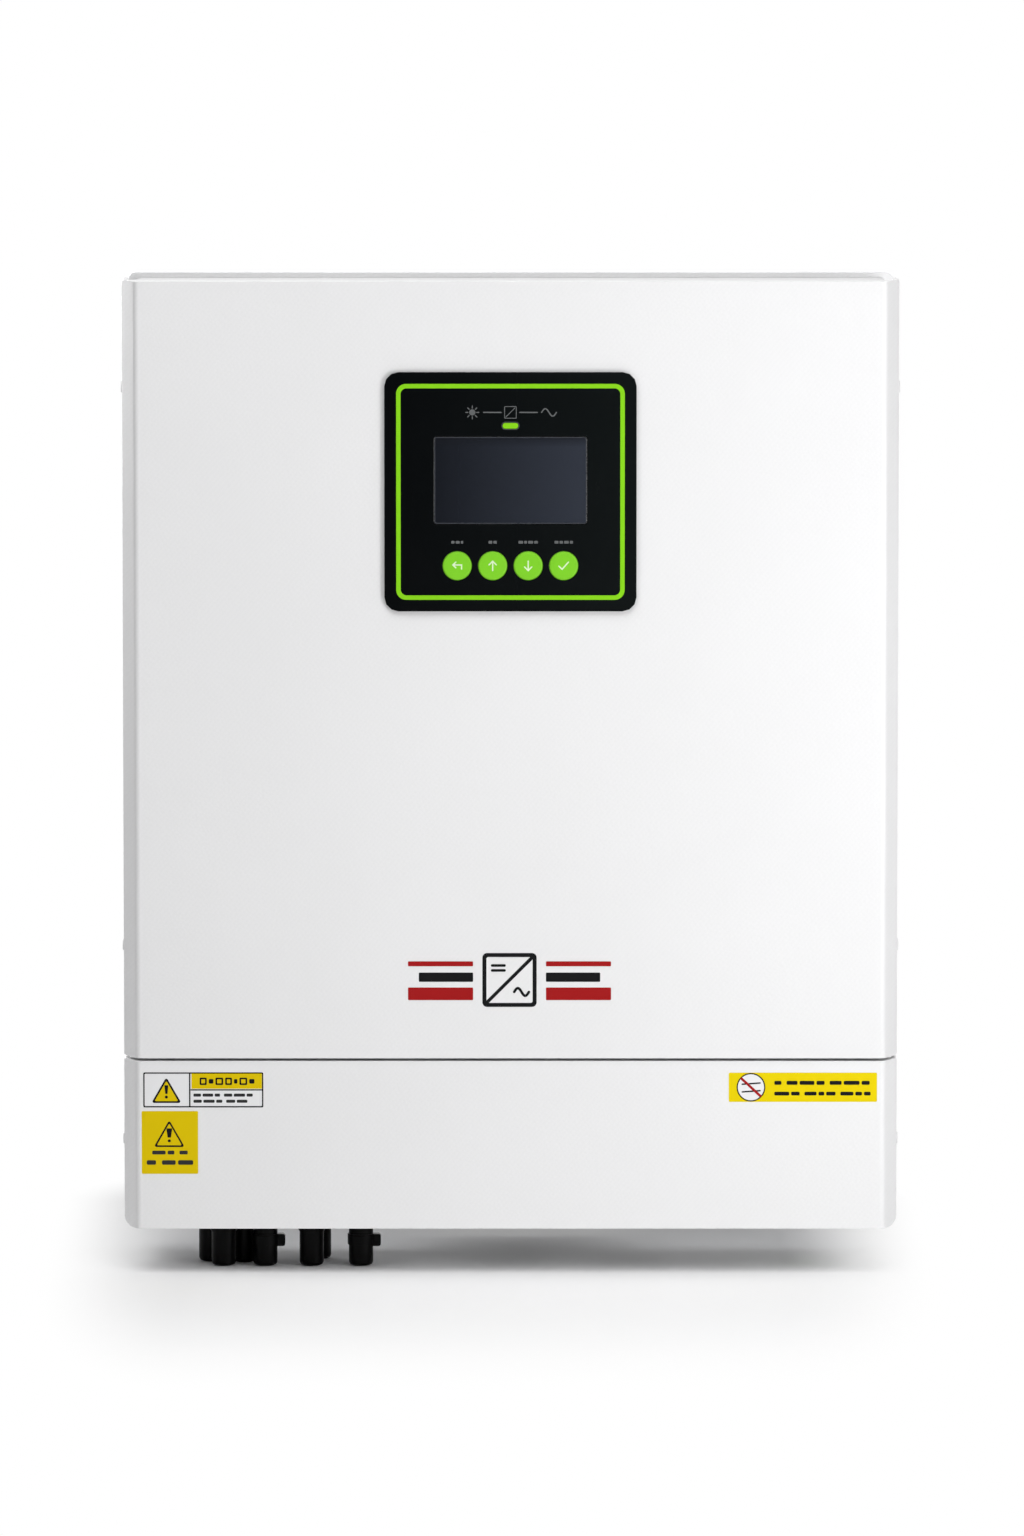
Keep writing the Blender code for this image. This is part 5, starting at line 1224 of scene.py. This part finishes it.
def make_panel_wires():
    """A wire from each panel socket, up past the divider to a lug on the power board."""
    looks = ["red_wire", "black_wire", "brass", "nylon"]
    kit = Kit("panel_wires", "casing", looks, (-0.15, -0.10, -0.38))
    order = (1, 2, 3, 4)
    for number in range(1, 8):
        low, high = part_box(f"pv_socket_{number}")
        x, y, top = (low.x + high.x) / 2, (low.y + high.y) / 2, high.z
        look = "red_wire" if number % 2 else "black_wire"
        if number <= 4:
            bush = Vector((PASSES["left"][0] - 0.0108 + 0.0072 * (number - 1), PASSES["left"][1], DIVIDER_Z))
            lug = LUGS[number - 1]
            path = [(x, y, top - 0.001), (x, y, top + 0.012), (x + (bush.x - x) * 0.35, y + 0.006, top + 0.030),
                    (bush.x, bush.y, DIVIDER_Z - 0.022), tuple(bush), (bush.x, bush.y, DIVIDER_Z + 0.030),
                    (bush.x, bush.y + 0.001, -0.300), (bush.x + (lug - bush.x) * 0.4, -0.0975, -0.268),
                    (lug, -0.0955, -0.2500), (lug, -0.0950, -0.2425)]
        else:
            bush = Vector((PASSES["middle"][0] - 0.0042 + 0.0042 * (number - 5), PASSES["middle"][1], DIVIDER_Z))
            lug = LUGS[number - 1]
            path = [(x, y, top - 0.001), (x, y, top + 0.012), (x + (bush.x - x) * 0.35, y + 0.004, top + 0.030),
                    (bush.x, bush.y, DIVIDER_Z - 0.022), tuple(bush), (bush.x, bush.y, DIVIDER_Z + 0.030),
                    (bush.x, bush.y + 0.002, -0.300), (bush.x + (lug - bush.x) * 0.4, -0.0965, -0.264),
                    (lug, -0.0955, -0.2500), (lug, -0.0950, -0.2425)]
        kit.rod((x, y, top - 0.0040), (x, y, top + 0.0060), 0.0036, "nylon", sides=16)
        kit.tube(path, 0.0026 if number <= 4 else 0.0019, look, sides=10, steps=6)
        kit.rod((lug, -0.0950, -0.2440), (lug, -0.0945, -0.2380), 0.0022, "brass", sides=12)
    # ties that hold the left bundle
    for z in (-0.345, -0.312):
        kit.block((-0.2385, -0.1034, z - 0.0012), (-0.2105, -0.0966, z + 0.0012), "nylon", 0.0030, "Z", 3)
    kit.done(0)


def make_power_wires():
    """Mains and battery wires from the terminal board to the power board, and the earth wires."""
    looks = ["red_wire", "black_wire", "blue_wire", "earth_wire", "brass", "nylon"]
    kit = Kit("power_wires", "casing", looks, (0.05, -0.096, -0.35))
    x0, y0 = PASSES["ac"]
    for k, (look, start, end) in enumerate((("black_wire", -0.020, 0.034), ("blue_wire", 0.000, 0.046),
                                            ("red_wire", 0.030, 0.070), ("blue_wire", 0.050, 0.082))):
        x = x0 - 0.0084 + 0.0056 * k
        kit.tube([(start, -0.0880, -0.4020), (start, -0.0930, -0.3985), (start + (x - start) * 0.6, -0.0950, -0.3935),
                  (x, y0, -0.3880), (x, y0, DIVIDER_Z + 0.012), (x, y0 + 0.001, -0.330), (x, y0 + 0.001, -0.285),
                  (x + (end - x) * 0.6, -0.0955, -0.2560), (end, -0.0935, -0.2455), (end, -0.0915, -0.2430)],
                 0.0022, look, sides=10, steps=6)
    x0, y0 = PASSES["battery"]
    for k, (look, start, end) in enumerate((("red_wire", 0.096, 0.106), ("black_wire", 0.118, 0.118))):
        x = x0 - 0.0042 + 0.0084 * k
        kit.tube([(start, -0.0880, -0.4040), (start, -0.0940, -0.3985), (x, y0, -0.3920), (x, y0, DIVIDER_Z + 0.012),
                  (x, y0 + 0.001, -0.330), (x + 0.001, y0 + 0.001, -0.285), (end, -0.0975, -0.2640),
                  (end, -0.0940, -0.2480), (end, -0.0915, -0.2440)], 0.0036, look, sides=12, steps=6)
    for k, (start, end) in enumerate(((-0.1935, -0.236), (-0.1065, -0.0625))):
        kit.tube([(start, -0.0885, -0.4075), (start, -0.0935, -0.4200), (start + (end - start) * 0.5, -0.0950, -0.4280),
                  (end, -0.0920, -0.4200), (end, -0.0860, -0.4040), (end, INNER_BACK - 0.0015, -0.3980)],
                 0.0019, "earth_wire", sides=10, steps=6)
    for z in (-0.350, -0.300):
        kit.block((0.0440, -0.0990, z - 0.0012), (0.0680, -0.0918, z + 0.0012), "nylon", 0.0030, "Z", 3)
    kit.done(0)


def make_ribbon():
    """Flat cable that leaves the key board for the control board; it goes with the cover."""
    low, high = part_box("keypad_board")
    kit = Kit("display_ribbon", "front_door", ["ribbon", "black_wire", "matt_black", "bright", "white_vinyl",
                                               "black_ink", "pale_ink", "nylon", "brass", "grey_ink"], (-0.05, high.y, -0.09))
    rear = high.y
    kit.block((-0.0640, rear, -0.0800), (-0.0400, rear + 0.0040, -0.0725), "black_wire", 0.0006, "Y", 2)
    path = smooth_path([Vector(p) for p in ((0, rear + 0.0024, -0.0795), (0, rear + 0.0028, -0.0870),
                                            (0, rear + 0.0075, -0.1010), (0, rear + 0.0100, -0.1150),
                                            (0, rear + 0.0100, -0.1235))], 8)
    before = kit.faces_now()
    left, right, half = -0.0625, -0.0415, 0.00035
    rows = []
    for k, point in enumerate(path):
        ahead = (path[min(k + 1, len(path) - 1)] - path[max(k - 1, 0)]).normalized()
        side = Vector((0, -ahead.z, ahead.y)) * half
        shift = -0.0135 * k / (len(path) - 1)
        rows.append([kit.edit.verts.new((x + shift, point.y + s * side.y, point.z + s * side.z))
                     for x, s in ((left, 1), (right, 1), (right, -1), (left, -1))])
    for near, far in zip(rows, rows[1:]):
        for k in range(4):
            n = (k + 1) % 4
            kit.edit.faces.new((near[k], near[n], far[n], far[k]))
    kit.edit.faces.new(rows[0][::-1])
    kit.edit.faces.new(rows[-1])
    bmesh.ops.recalc_face_normals(kit.edit, faces=[f for f in kit.edit.faces if f not in before])
    kit.paint(before, "ribbon")
    kit.block((-0.0775, rear + 0.0075, -0.1345), (-0.0535, rear + 0.0125, -0.1225), "black_wire", 0.0006, "Y", 2)
    for x, z, wide, tall in ((0.010, 0.010, 0.0090, 0.0090), (0.034, 0.012, 0.0060, 0.0080), (-0.030, 0.014, 0.0060, 0.0080),
                             (0.020, -0.050, 0.0060, 0.0080)):
        before = kit.faces_now()
        kit.block((x - wide / 2, rear, z - tall / 2), (x + wide / 2, rear + 0.0016, z + tall / 2), "matt_black", 0.0003, "Y", 2)
        for side in (-1, 1):
            for k in range(6):
                leg = z - tall / 2 + tall * (k + 0.5) / 6
                kit.block((x + side * (wide / 2 + 0.0004) - 0.0006, rear, leg - 0.0003),
                          (x + side * (wide / 2 + 0.0004) + 0.0006, rear + 0.0006, leg + 0.0003), "bright")
    kit.slab(rounded_rectangle(0.030, -0.020, 0.030, 0.016, 0.0008, 2), rear, rear + 0.00025, "white_vinyl")
    for row in range(3):
        dashes(kit, 0.0175, 0.0425, -0.0155 - 0.0045 * row, 0.0020, rear, rear + 0.0003, "black_ink", row + 1)
    for x in (-0.0655, 0.0655):
        for z in (-0.0770, 0.0440):
            kit.screw((x, rear, z), (0, 1, 0), 0.0022)
    kit.done(0.00012)


# ---- outside fixings ----------------------------------------------------------------------------------------
def make_rear_screws():
    """Screws and bolts of the heat sink, the wall bracket, the foot and the fan tray."""
    sink_low, sink_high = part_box("heatsink")
    plate_rear = -0.0640
    kit = Kit("heatsink_screws", "casing", ["bright"], (0.0, plate_rear, -0.18))
    for side in (-1, 1):
        for k in range(7):
            kit.screw((side * 0.2415, plate_rear, sink_high.z - 0.012 - k * (sink_high.z - sink_low.z - 0.024) / 6),
                      (0, 1, 0), 0.0030)
    for x in (-0.165, -0.0825, 0.0825, 0.165):
        kit.screw((x, plate_rear, sink_low.z + 0.012), (0, 1, 0), 0.0030)
        kit.screw((x, plate_rear, sink_high.z - 0.009), (0, 1, 0), 0.0030)
    kit.done(0.00025)
    kit = Kit("bracket_fixings", "casing", ["bright"], (0.0, -0.02, -0.2))
    wall_front = -0.0025
    for x in (-0.125, -0.050, 0.050, 0.125):
        kit.bolt((x, wall_front, 0.0), (0, -1, 0), 0.0058)
        kit.rod((x, wall_front, 0.0), (x, -0.0003, 0.0), 0.0039, "bright", sides=20)
    for x in (-0.045, 0.045):
        kit.bolt((x, -0.0020, -0.486), (0, -1, 0), 0.0046)
        kit.rod((x, -0.0020, -0.486), (x, -0.0003, -0.486), 0.0030, "bright", sides=20)
    foot_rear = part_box("lower_bracket")[0].y + 0.0020
    for x in (-0.045, -0.015, 0.015, 0.045):
        kit.screw((x, foot_rear, -0.4535), (0, 1, 0), 0.0032)
    rail_low, rail_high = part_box("hanger_rail")
    for k in range(7):
        kit.screw((-0.132 + 0.044 * k, rail_low.y + 0.0020, 0.0250), (0, 1, 0), 0.0028)
    kit.done(0.0003)
    kit = Kit("fan_fixings", "casing", ["bright", "black_wire", "red_wire"], (0.0, -0.03, -0.31))
    tray_low, tray_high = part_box("fan_tray")
    for x in (-0.188, -0.150, -0.062, 0.0, 0.062, 0.150, 0.188):
        kit.screw((x, tray_low.y + 0.0015, tray_high.z - 0.0055), (0, 1, 0), 0.0028)
    for number in (1, 2):
        low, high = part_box(f"fan_frame_{number}")
        x, y, under = (low.x + high.x) / 2, (low.y + high.y) / 2, low.z
        for dx in (-0.025, 0.025):
            for dy in (-0.025, 0.025):
                kit.screw((x + dx, y + dy, under), (0, 0, -1), 0.0030)
        for radius in (0.0085, 0.0150, 0.0215, 0.0275):
            circle_path = [(x + radius * math.cos(a), y + radius * math.sin(a), under - 0.0022)
                           for a in (2 * math.pi * k / 24 for k in range(25))]
            kit.tube(circle_path, 0.0008, "bright", sides=6, steps=2)
        for turn in (math.pi / 4, -math.pi / 4):
            reach = Vector((math.cos(turn), math.sin(turn), 0.0)) * 0.0330
            middle = Vector((x, y, under - 0.0010))
            kit.tube([middle - reach, middle + reach], 0.0008, "bright", sides=6)
        out = Vector((low.x + 0.006, low.y + 0.002, under + 0.004))
        kit.tube([out, out + Vector((-0.004, -0.002, -0.004)), out + Vector((-0.012, -0.003, -0.006)),
                  (out.x - 0.020, -0.0625, out.z - 0.004), (out.x - 0.022, -0.0628, out.z - 0.022)],
                 0.0010, "red_wire", sides=8)
        kit.tube([out + Vector((0.002, 0, 0)), out + Vector((-0.002, -0.003, -0.006)), out + Vector((-0.010, -0.0035, -0.009)),
                  (out.x - 0.0175, -0.0625, out.z - 0.006), (out.x - 0.0195, -0.0628, out.z - 0.022)],
                 0.0010, "black_wire", sides=8)
        kit.ring((out.x - 0.0208, -0.0638, out.z - 0.0235), (out.x - 0.0208, -0.0610, out.z - 0.0235), 0.0045, 0.0002,
                 "black_wire")
    kit.done(0.0002)


def make_hub_labels():
    for number in (1, 2):
        low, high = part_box(f"fan_rotor_{number}")
        x, y = (low.x + high.x) / 2, (low.y + high.y) / 2
        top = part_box(f"fan_frame_{number}")[1].z - 0.0015
        kit = Kit(f"fan_hub_label_{number}", f"rotor_{number}", ["white_vinyl", "black_ink", "grey_ink"], (x, y, top))
        kit.rod((x, y, top - 0.0002), (x, y, top + 0.00012), 0.0098, "white_vinyl", sides=32)
        kit.ring((x, y, top), (x, y, top + 0.00018), 0.0092, 0.0088, "grey_ink", sides=32)
        for row, half in ((0.0030, 0.0060), (0.0, 0.0072), (-0.0030, 0.0045)):
            kit.block((x - half, y + row - 0.0006, top), (x + half * 0.4, y + row + 0.0006, top + 0.00018), "black_ink")
            kit.block((x + half * 0.55, y + row - 0.0006, top), (x + half, y + row + 0.0006, top + 0.00018), "black_ink")
        kit.done(0)


def make_rating_plate():
    """Plain silver plate on the casing's right side, with dashes for its figures."""
    x = 0.2445
    kit = Kit("rating_plate", "casing", ["cast", "black_ink", "yellow"], (x, -0.098, -0.20))
    kit.block((x - 0.0002, -0.1170, -0.2500), (x + 0.00025, -0.0790, -0.1500), "cast", 0.0015, "X", 2)
    k = 1
    for row in range(13):
        z = -0.1580 - 0.0068 * row
        at = -0.1140
        end = -0.0870 if row % 3 else -0.0820
        while at < end:
            long = 0.0028 + 0.0012 * ((k * 7) % 4)
            kit.block((x, at, z - 0.0009), (x + 0.00032, min(at + long, end), z + 0.0009), "black_ink")
            at += long + (0.0012 if k % 3 else 0.0028)
            k += 1
    kit.done(0)


def make_rocker_marks():
    """Line and circle on the rocker's two slanted faces."""
    low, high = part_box("power_rocker")
    pivot = Vector((0.200, -0.110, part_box("chassis")[0].z + 0.0020))
    kit = Kit("rocker_marks", "rocker", ["pale_ink"], pivot)
    throw = math.radians(10)
    for side in (-1, 1):
        slope = math.atan2(0.0062 - 0.0048, 0.0082)
        middle = Vector((side * 0.0043, 0.0, -(0.0048 + 0.0043 * math.tan(slope))))
        turn = Matrix.Rotation(-throw, 3, "Y")
        tilt = Matrix.Rotation(side * slope, 3, "Y")
        normal = turn @ tilt @ Vector((0, 0, -1))
        centre = pivot + turn @ middle
        if side < 0:
            kit.ring(centre - normal * 0.0002, centre + normal * 0.00006, 0.0018, 0.0013, "pale_ink", sides=20)
        else:
            kit.tube([centre - Vector((0, 0.0018, 0)) - normal * 0.0002, centre + Vector((0, 0.0018, 0)) - normal * 0.0002],
                     0.0003, "pale_ink", sides=8)
    kit.done(0)


def make_interior():
    make_power_parts()
    make_control_parts()
    make_terminal_parts()
    make_potting()
    make_transformer()
    make_earth_bar()
    make_bushings()
    make_panel_wires()
    make_power_wires()
    make_ribbon()


def make_fixings():
    make_rear_screws()
    make_hub_labels()
    make_rating_plate()
    make_rocker_marks()


# ---- floor, light and camera ---------------------------------------------------------------------------
def pale_floor(name, colour):
    """Matt pale sheet; seen from above it fades to plain white away from the unit, from below it's clear."""
    material = grained(name, colour, 0.6, grain=300.0, depth=1e-5, mottle=0.004, uneven=0.04, specular=0.0)
    tree = material.node_tree
    axes = add(tree, "ShaderNodeSeparateXYZ", {"Vector": local(tree)}).outputs
    shifted = add(tree, "ShaderNodeMath", {0: axes[0], 1: 0.015}, operation="ADD").outputs[0]
    across = add(tree, "ShaderNodeMath", {0: shifted}, operation="ABSOLUTE").outputs[0]
    away = add(tree, "ShaderNodeCombineXYZ", {
        "X": between(tree, across, 0.0, 1.0, 0.19, 0.29), "Y": between(tree, axes[1], 1.0, 0.0, -0.55, -0.08),
        "Z": between(tree, axes[1], 0.0, 1.0, 0.26, 0.42)}).outputs[0]
    reach = add(tree, "ShaderNodeVectorMath", {0: away}, operation="LENGTH").outputs["Value"]
    far = add(tree, "ShaderNodeMapRange", {"Value": reach, "From Min": 0.0, "From Max": 1.0},
              interpolation_type="SMOOTHSTEP").outputs[0]
    seen = add(tree, "ShaderNodeLightPath").outputs["Is Camera Ray"]
    fade = add(tree, "ShaderNodeMath", {0: far, 1: seen}, operation="MULTIPLY").outputs[0]
    white = add(tree, "ShaderNodeEmission", {"Color": (1.0, 1.0, 1.0, 1.0), "Strength": 1.0}).outputs[0]
    lit = tree.nodes["Principled BSDF"].outputs[0]
    top = add(tree, "ShaderNodeMixShader", {0: fade, 1: lit, 2: white}).outputs[0]
    beneath = add(tree, "ShaderNodeMath", {0: add(tree, "ShaderNodeNewGeometry").outputs["Backfacing"], 1: seen},
                  operation="MULTIPLY").outputs[0]
    clear = add(tree, "ShaderNodeBsdfTransparent").outputs[0]
    mix = add(tree, "ShaderNodeMixShader", {0: beneath, 1: top, 2: clear}).outputs[0]
    tree.links.new(mix, tree.nodes["Material Output"].inputs["Surface"])
    return material


def make_floor():
    """Pale sheet under the unit, wide enough to pass out of sight."""
    edit = bmesh.new()
    bmesh.ops.create_circle(edit, cap_ends=True, segments=96, radius=30.0)
    mesh = bpy.data.meshes.new("floor")
    edit.to_mesh(mesh)
    edit.free()
    mesh.materials.append(pale_floor("pale_floor", (0.95, 0.95, 0.955)))
    floor = bpy.data.objects.new("floor", mesh)
    bpy.context.scene.collection.objects.link(floor)
    floor.location = (0.0, -0.1, FLOOR_Z)
    floor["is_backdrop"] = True


def area_light(name, place, target, width, height, power):
    data = bpy.data.lights.new(name, "AREA")
    data.shape = "RECTANGLE"
    data.size, data.size_y = width, height
    data.energy = power
    light = bpy.data.objects.new(name, data)
    bpy.context.scene.collection.objects.link(light)
    light.location = place
    light.visible_camera = False
    light.rotation_euler = (Vector(target) - Vector(place)).to_track_quat("-Z", "Y").to_euler()
    return light


def make_world():
    """Studio white: dim from behind the camera, so that gloss stays dark, and bright from the wall's side."""
    world = bpy.data.worlds.new("studio")
    bpy.context.scene.world = world
    world.use_nodes = True
    tree = world.node_tree
    background = tree.nodes["Background"]
    ahead = add(tree, "ShaderNodeSeparateXYZ", {
        "Vector": add(tree, "ShaderNodeTexCoord").outputs["Generated"]}).outputs[1]
    sides = between(tree, ahead, WORLD_AHEAD, WORLD_LEVEL, -0.95, -0.35)
    rear = between(tree, ahead, 0.0, WORLD_REAR, 0.0, 0.6)
    level = add(tree, "ShaderNodeMath", {0: sides, 1: rear}, operation="ADD").outputs[0]
    mirrored = between(tree, ahead, 0.0, WORLD_SHEEN, 0.20, 0.80)
    ray = add(tree, "ShaderNodeLightPath").outputs
    sheen = add(tree, "ShaderNodeMath", {0: mirrored, 1: ray["Is Glossy Ray"], 2: level},
                operation="MULTIPLY_ADD")
    strength = add(tree, "ShaderNodeMix", {0: ray["Is Camera Ray"], 2: sheen.outputs[0], 3: 1.0},
                   data_type="FLOAT").outputs[0]
    tree.links.new(strength, background.inputs["Strength"])
    background.inputs["Color"].default_value = (1.0, 1.0, 1.0, 1.0)


def make_studio():
    make_floor()
    make_world()
    area_light("key", (0.85, -1.00, -0.30), (0.1, -0.16, -0.2), 0.45, 1.3, KEY_POWER)
    area_light("overhead", (-0.3, -1.75, 2.15), (0.0, -0.2, -0.2), 3.0, 1.8, OVERHEAD_POWER)
    rear = area_light("rear", (-1.4, 1.9, 0.3), (0.0, -0.1, -0.2), 1.0, 1.0, REAR_POWER)
    lit = bpy.data.collections.new("lit_from_the_rear")
    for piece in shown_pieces():
        lit.objects.link(piece)
    rear.light_linking.receiver_collection = lit
    scene = bpy.context.scene
    scene.view_settings.view_transform = "Standard"
    target = Vector((0.001, FACE_Y, -0.1935))
    tilt = math.radians(6.0)
    data = bpy.data.cameras.new("camera")
    data.sensor_width = 36.0
    data.lens = 273.0
    camera = bpy.data.objects.new("camera", data)
    scene.collection.objects.link(camera)
    camera.location = target + 7.5 * Vector((0.0, -math.cos(tilt), math.sin(tilt)))
    camera.rotation_euler = (target - camera.location).to_track_quat("-Z", "Y").to_euler()
    data.clip_end = 200.0
    scene.camera = camera


def build():
    make_skins()
    make_panel_line()
    make_lens_rim()
    make_panel_marks()
    for key in KEYS:
        make_key_mark(key)
    make_emblem()
    make_stickers()
    make_interior()
    make_fixings()
    make_studio()


build()
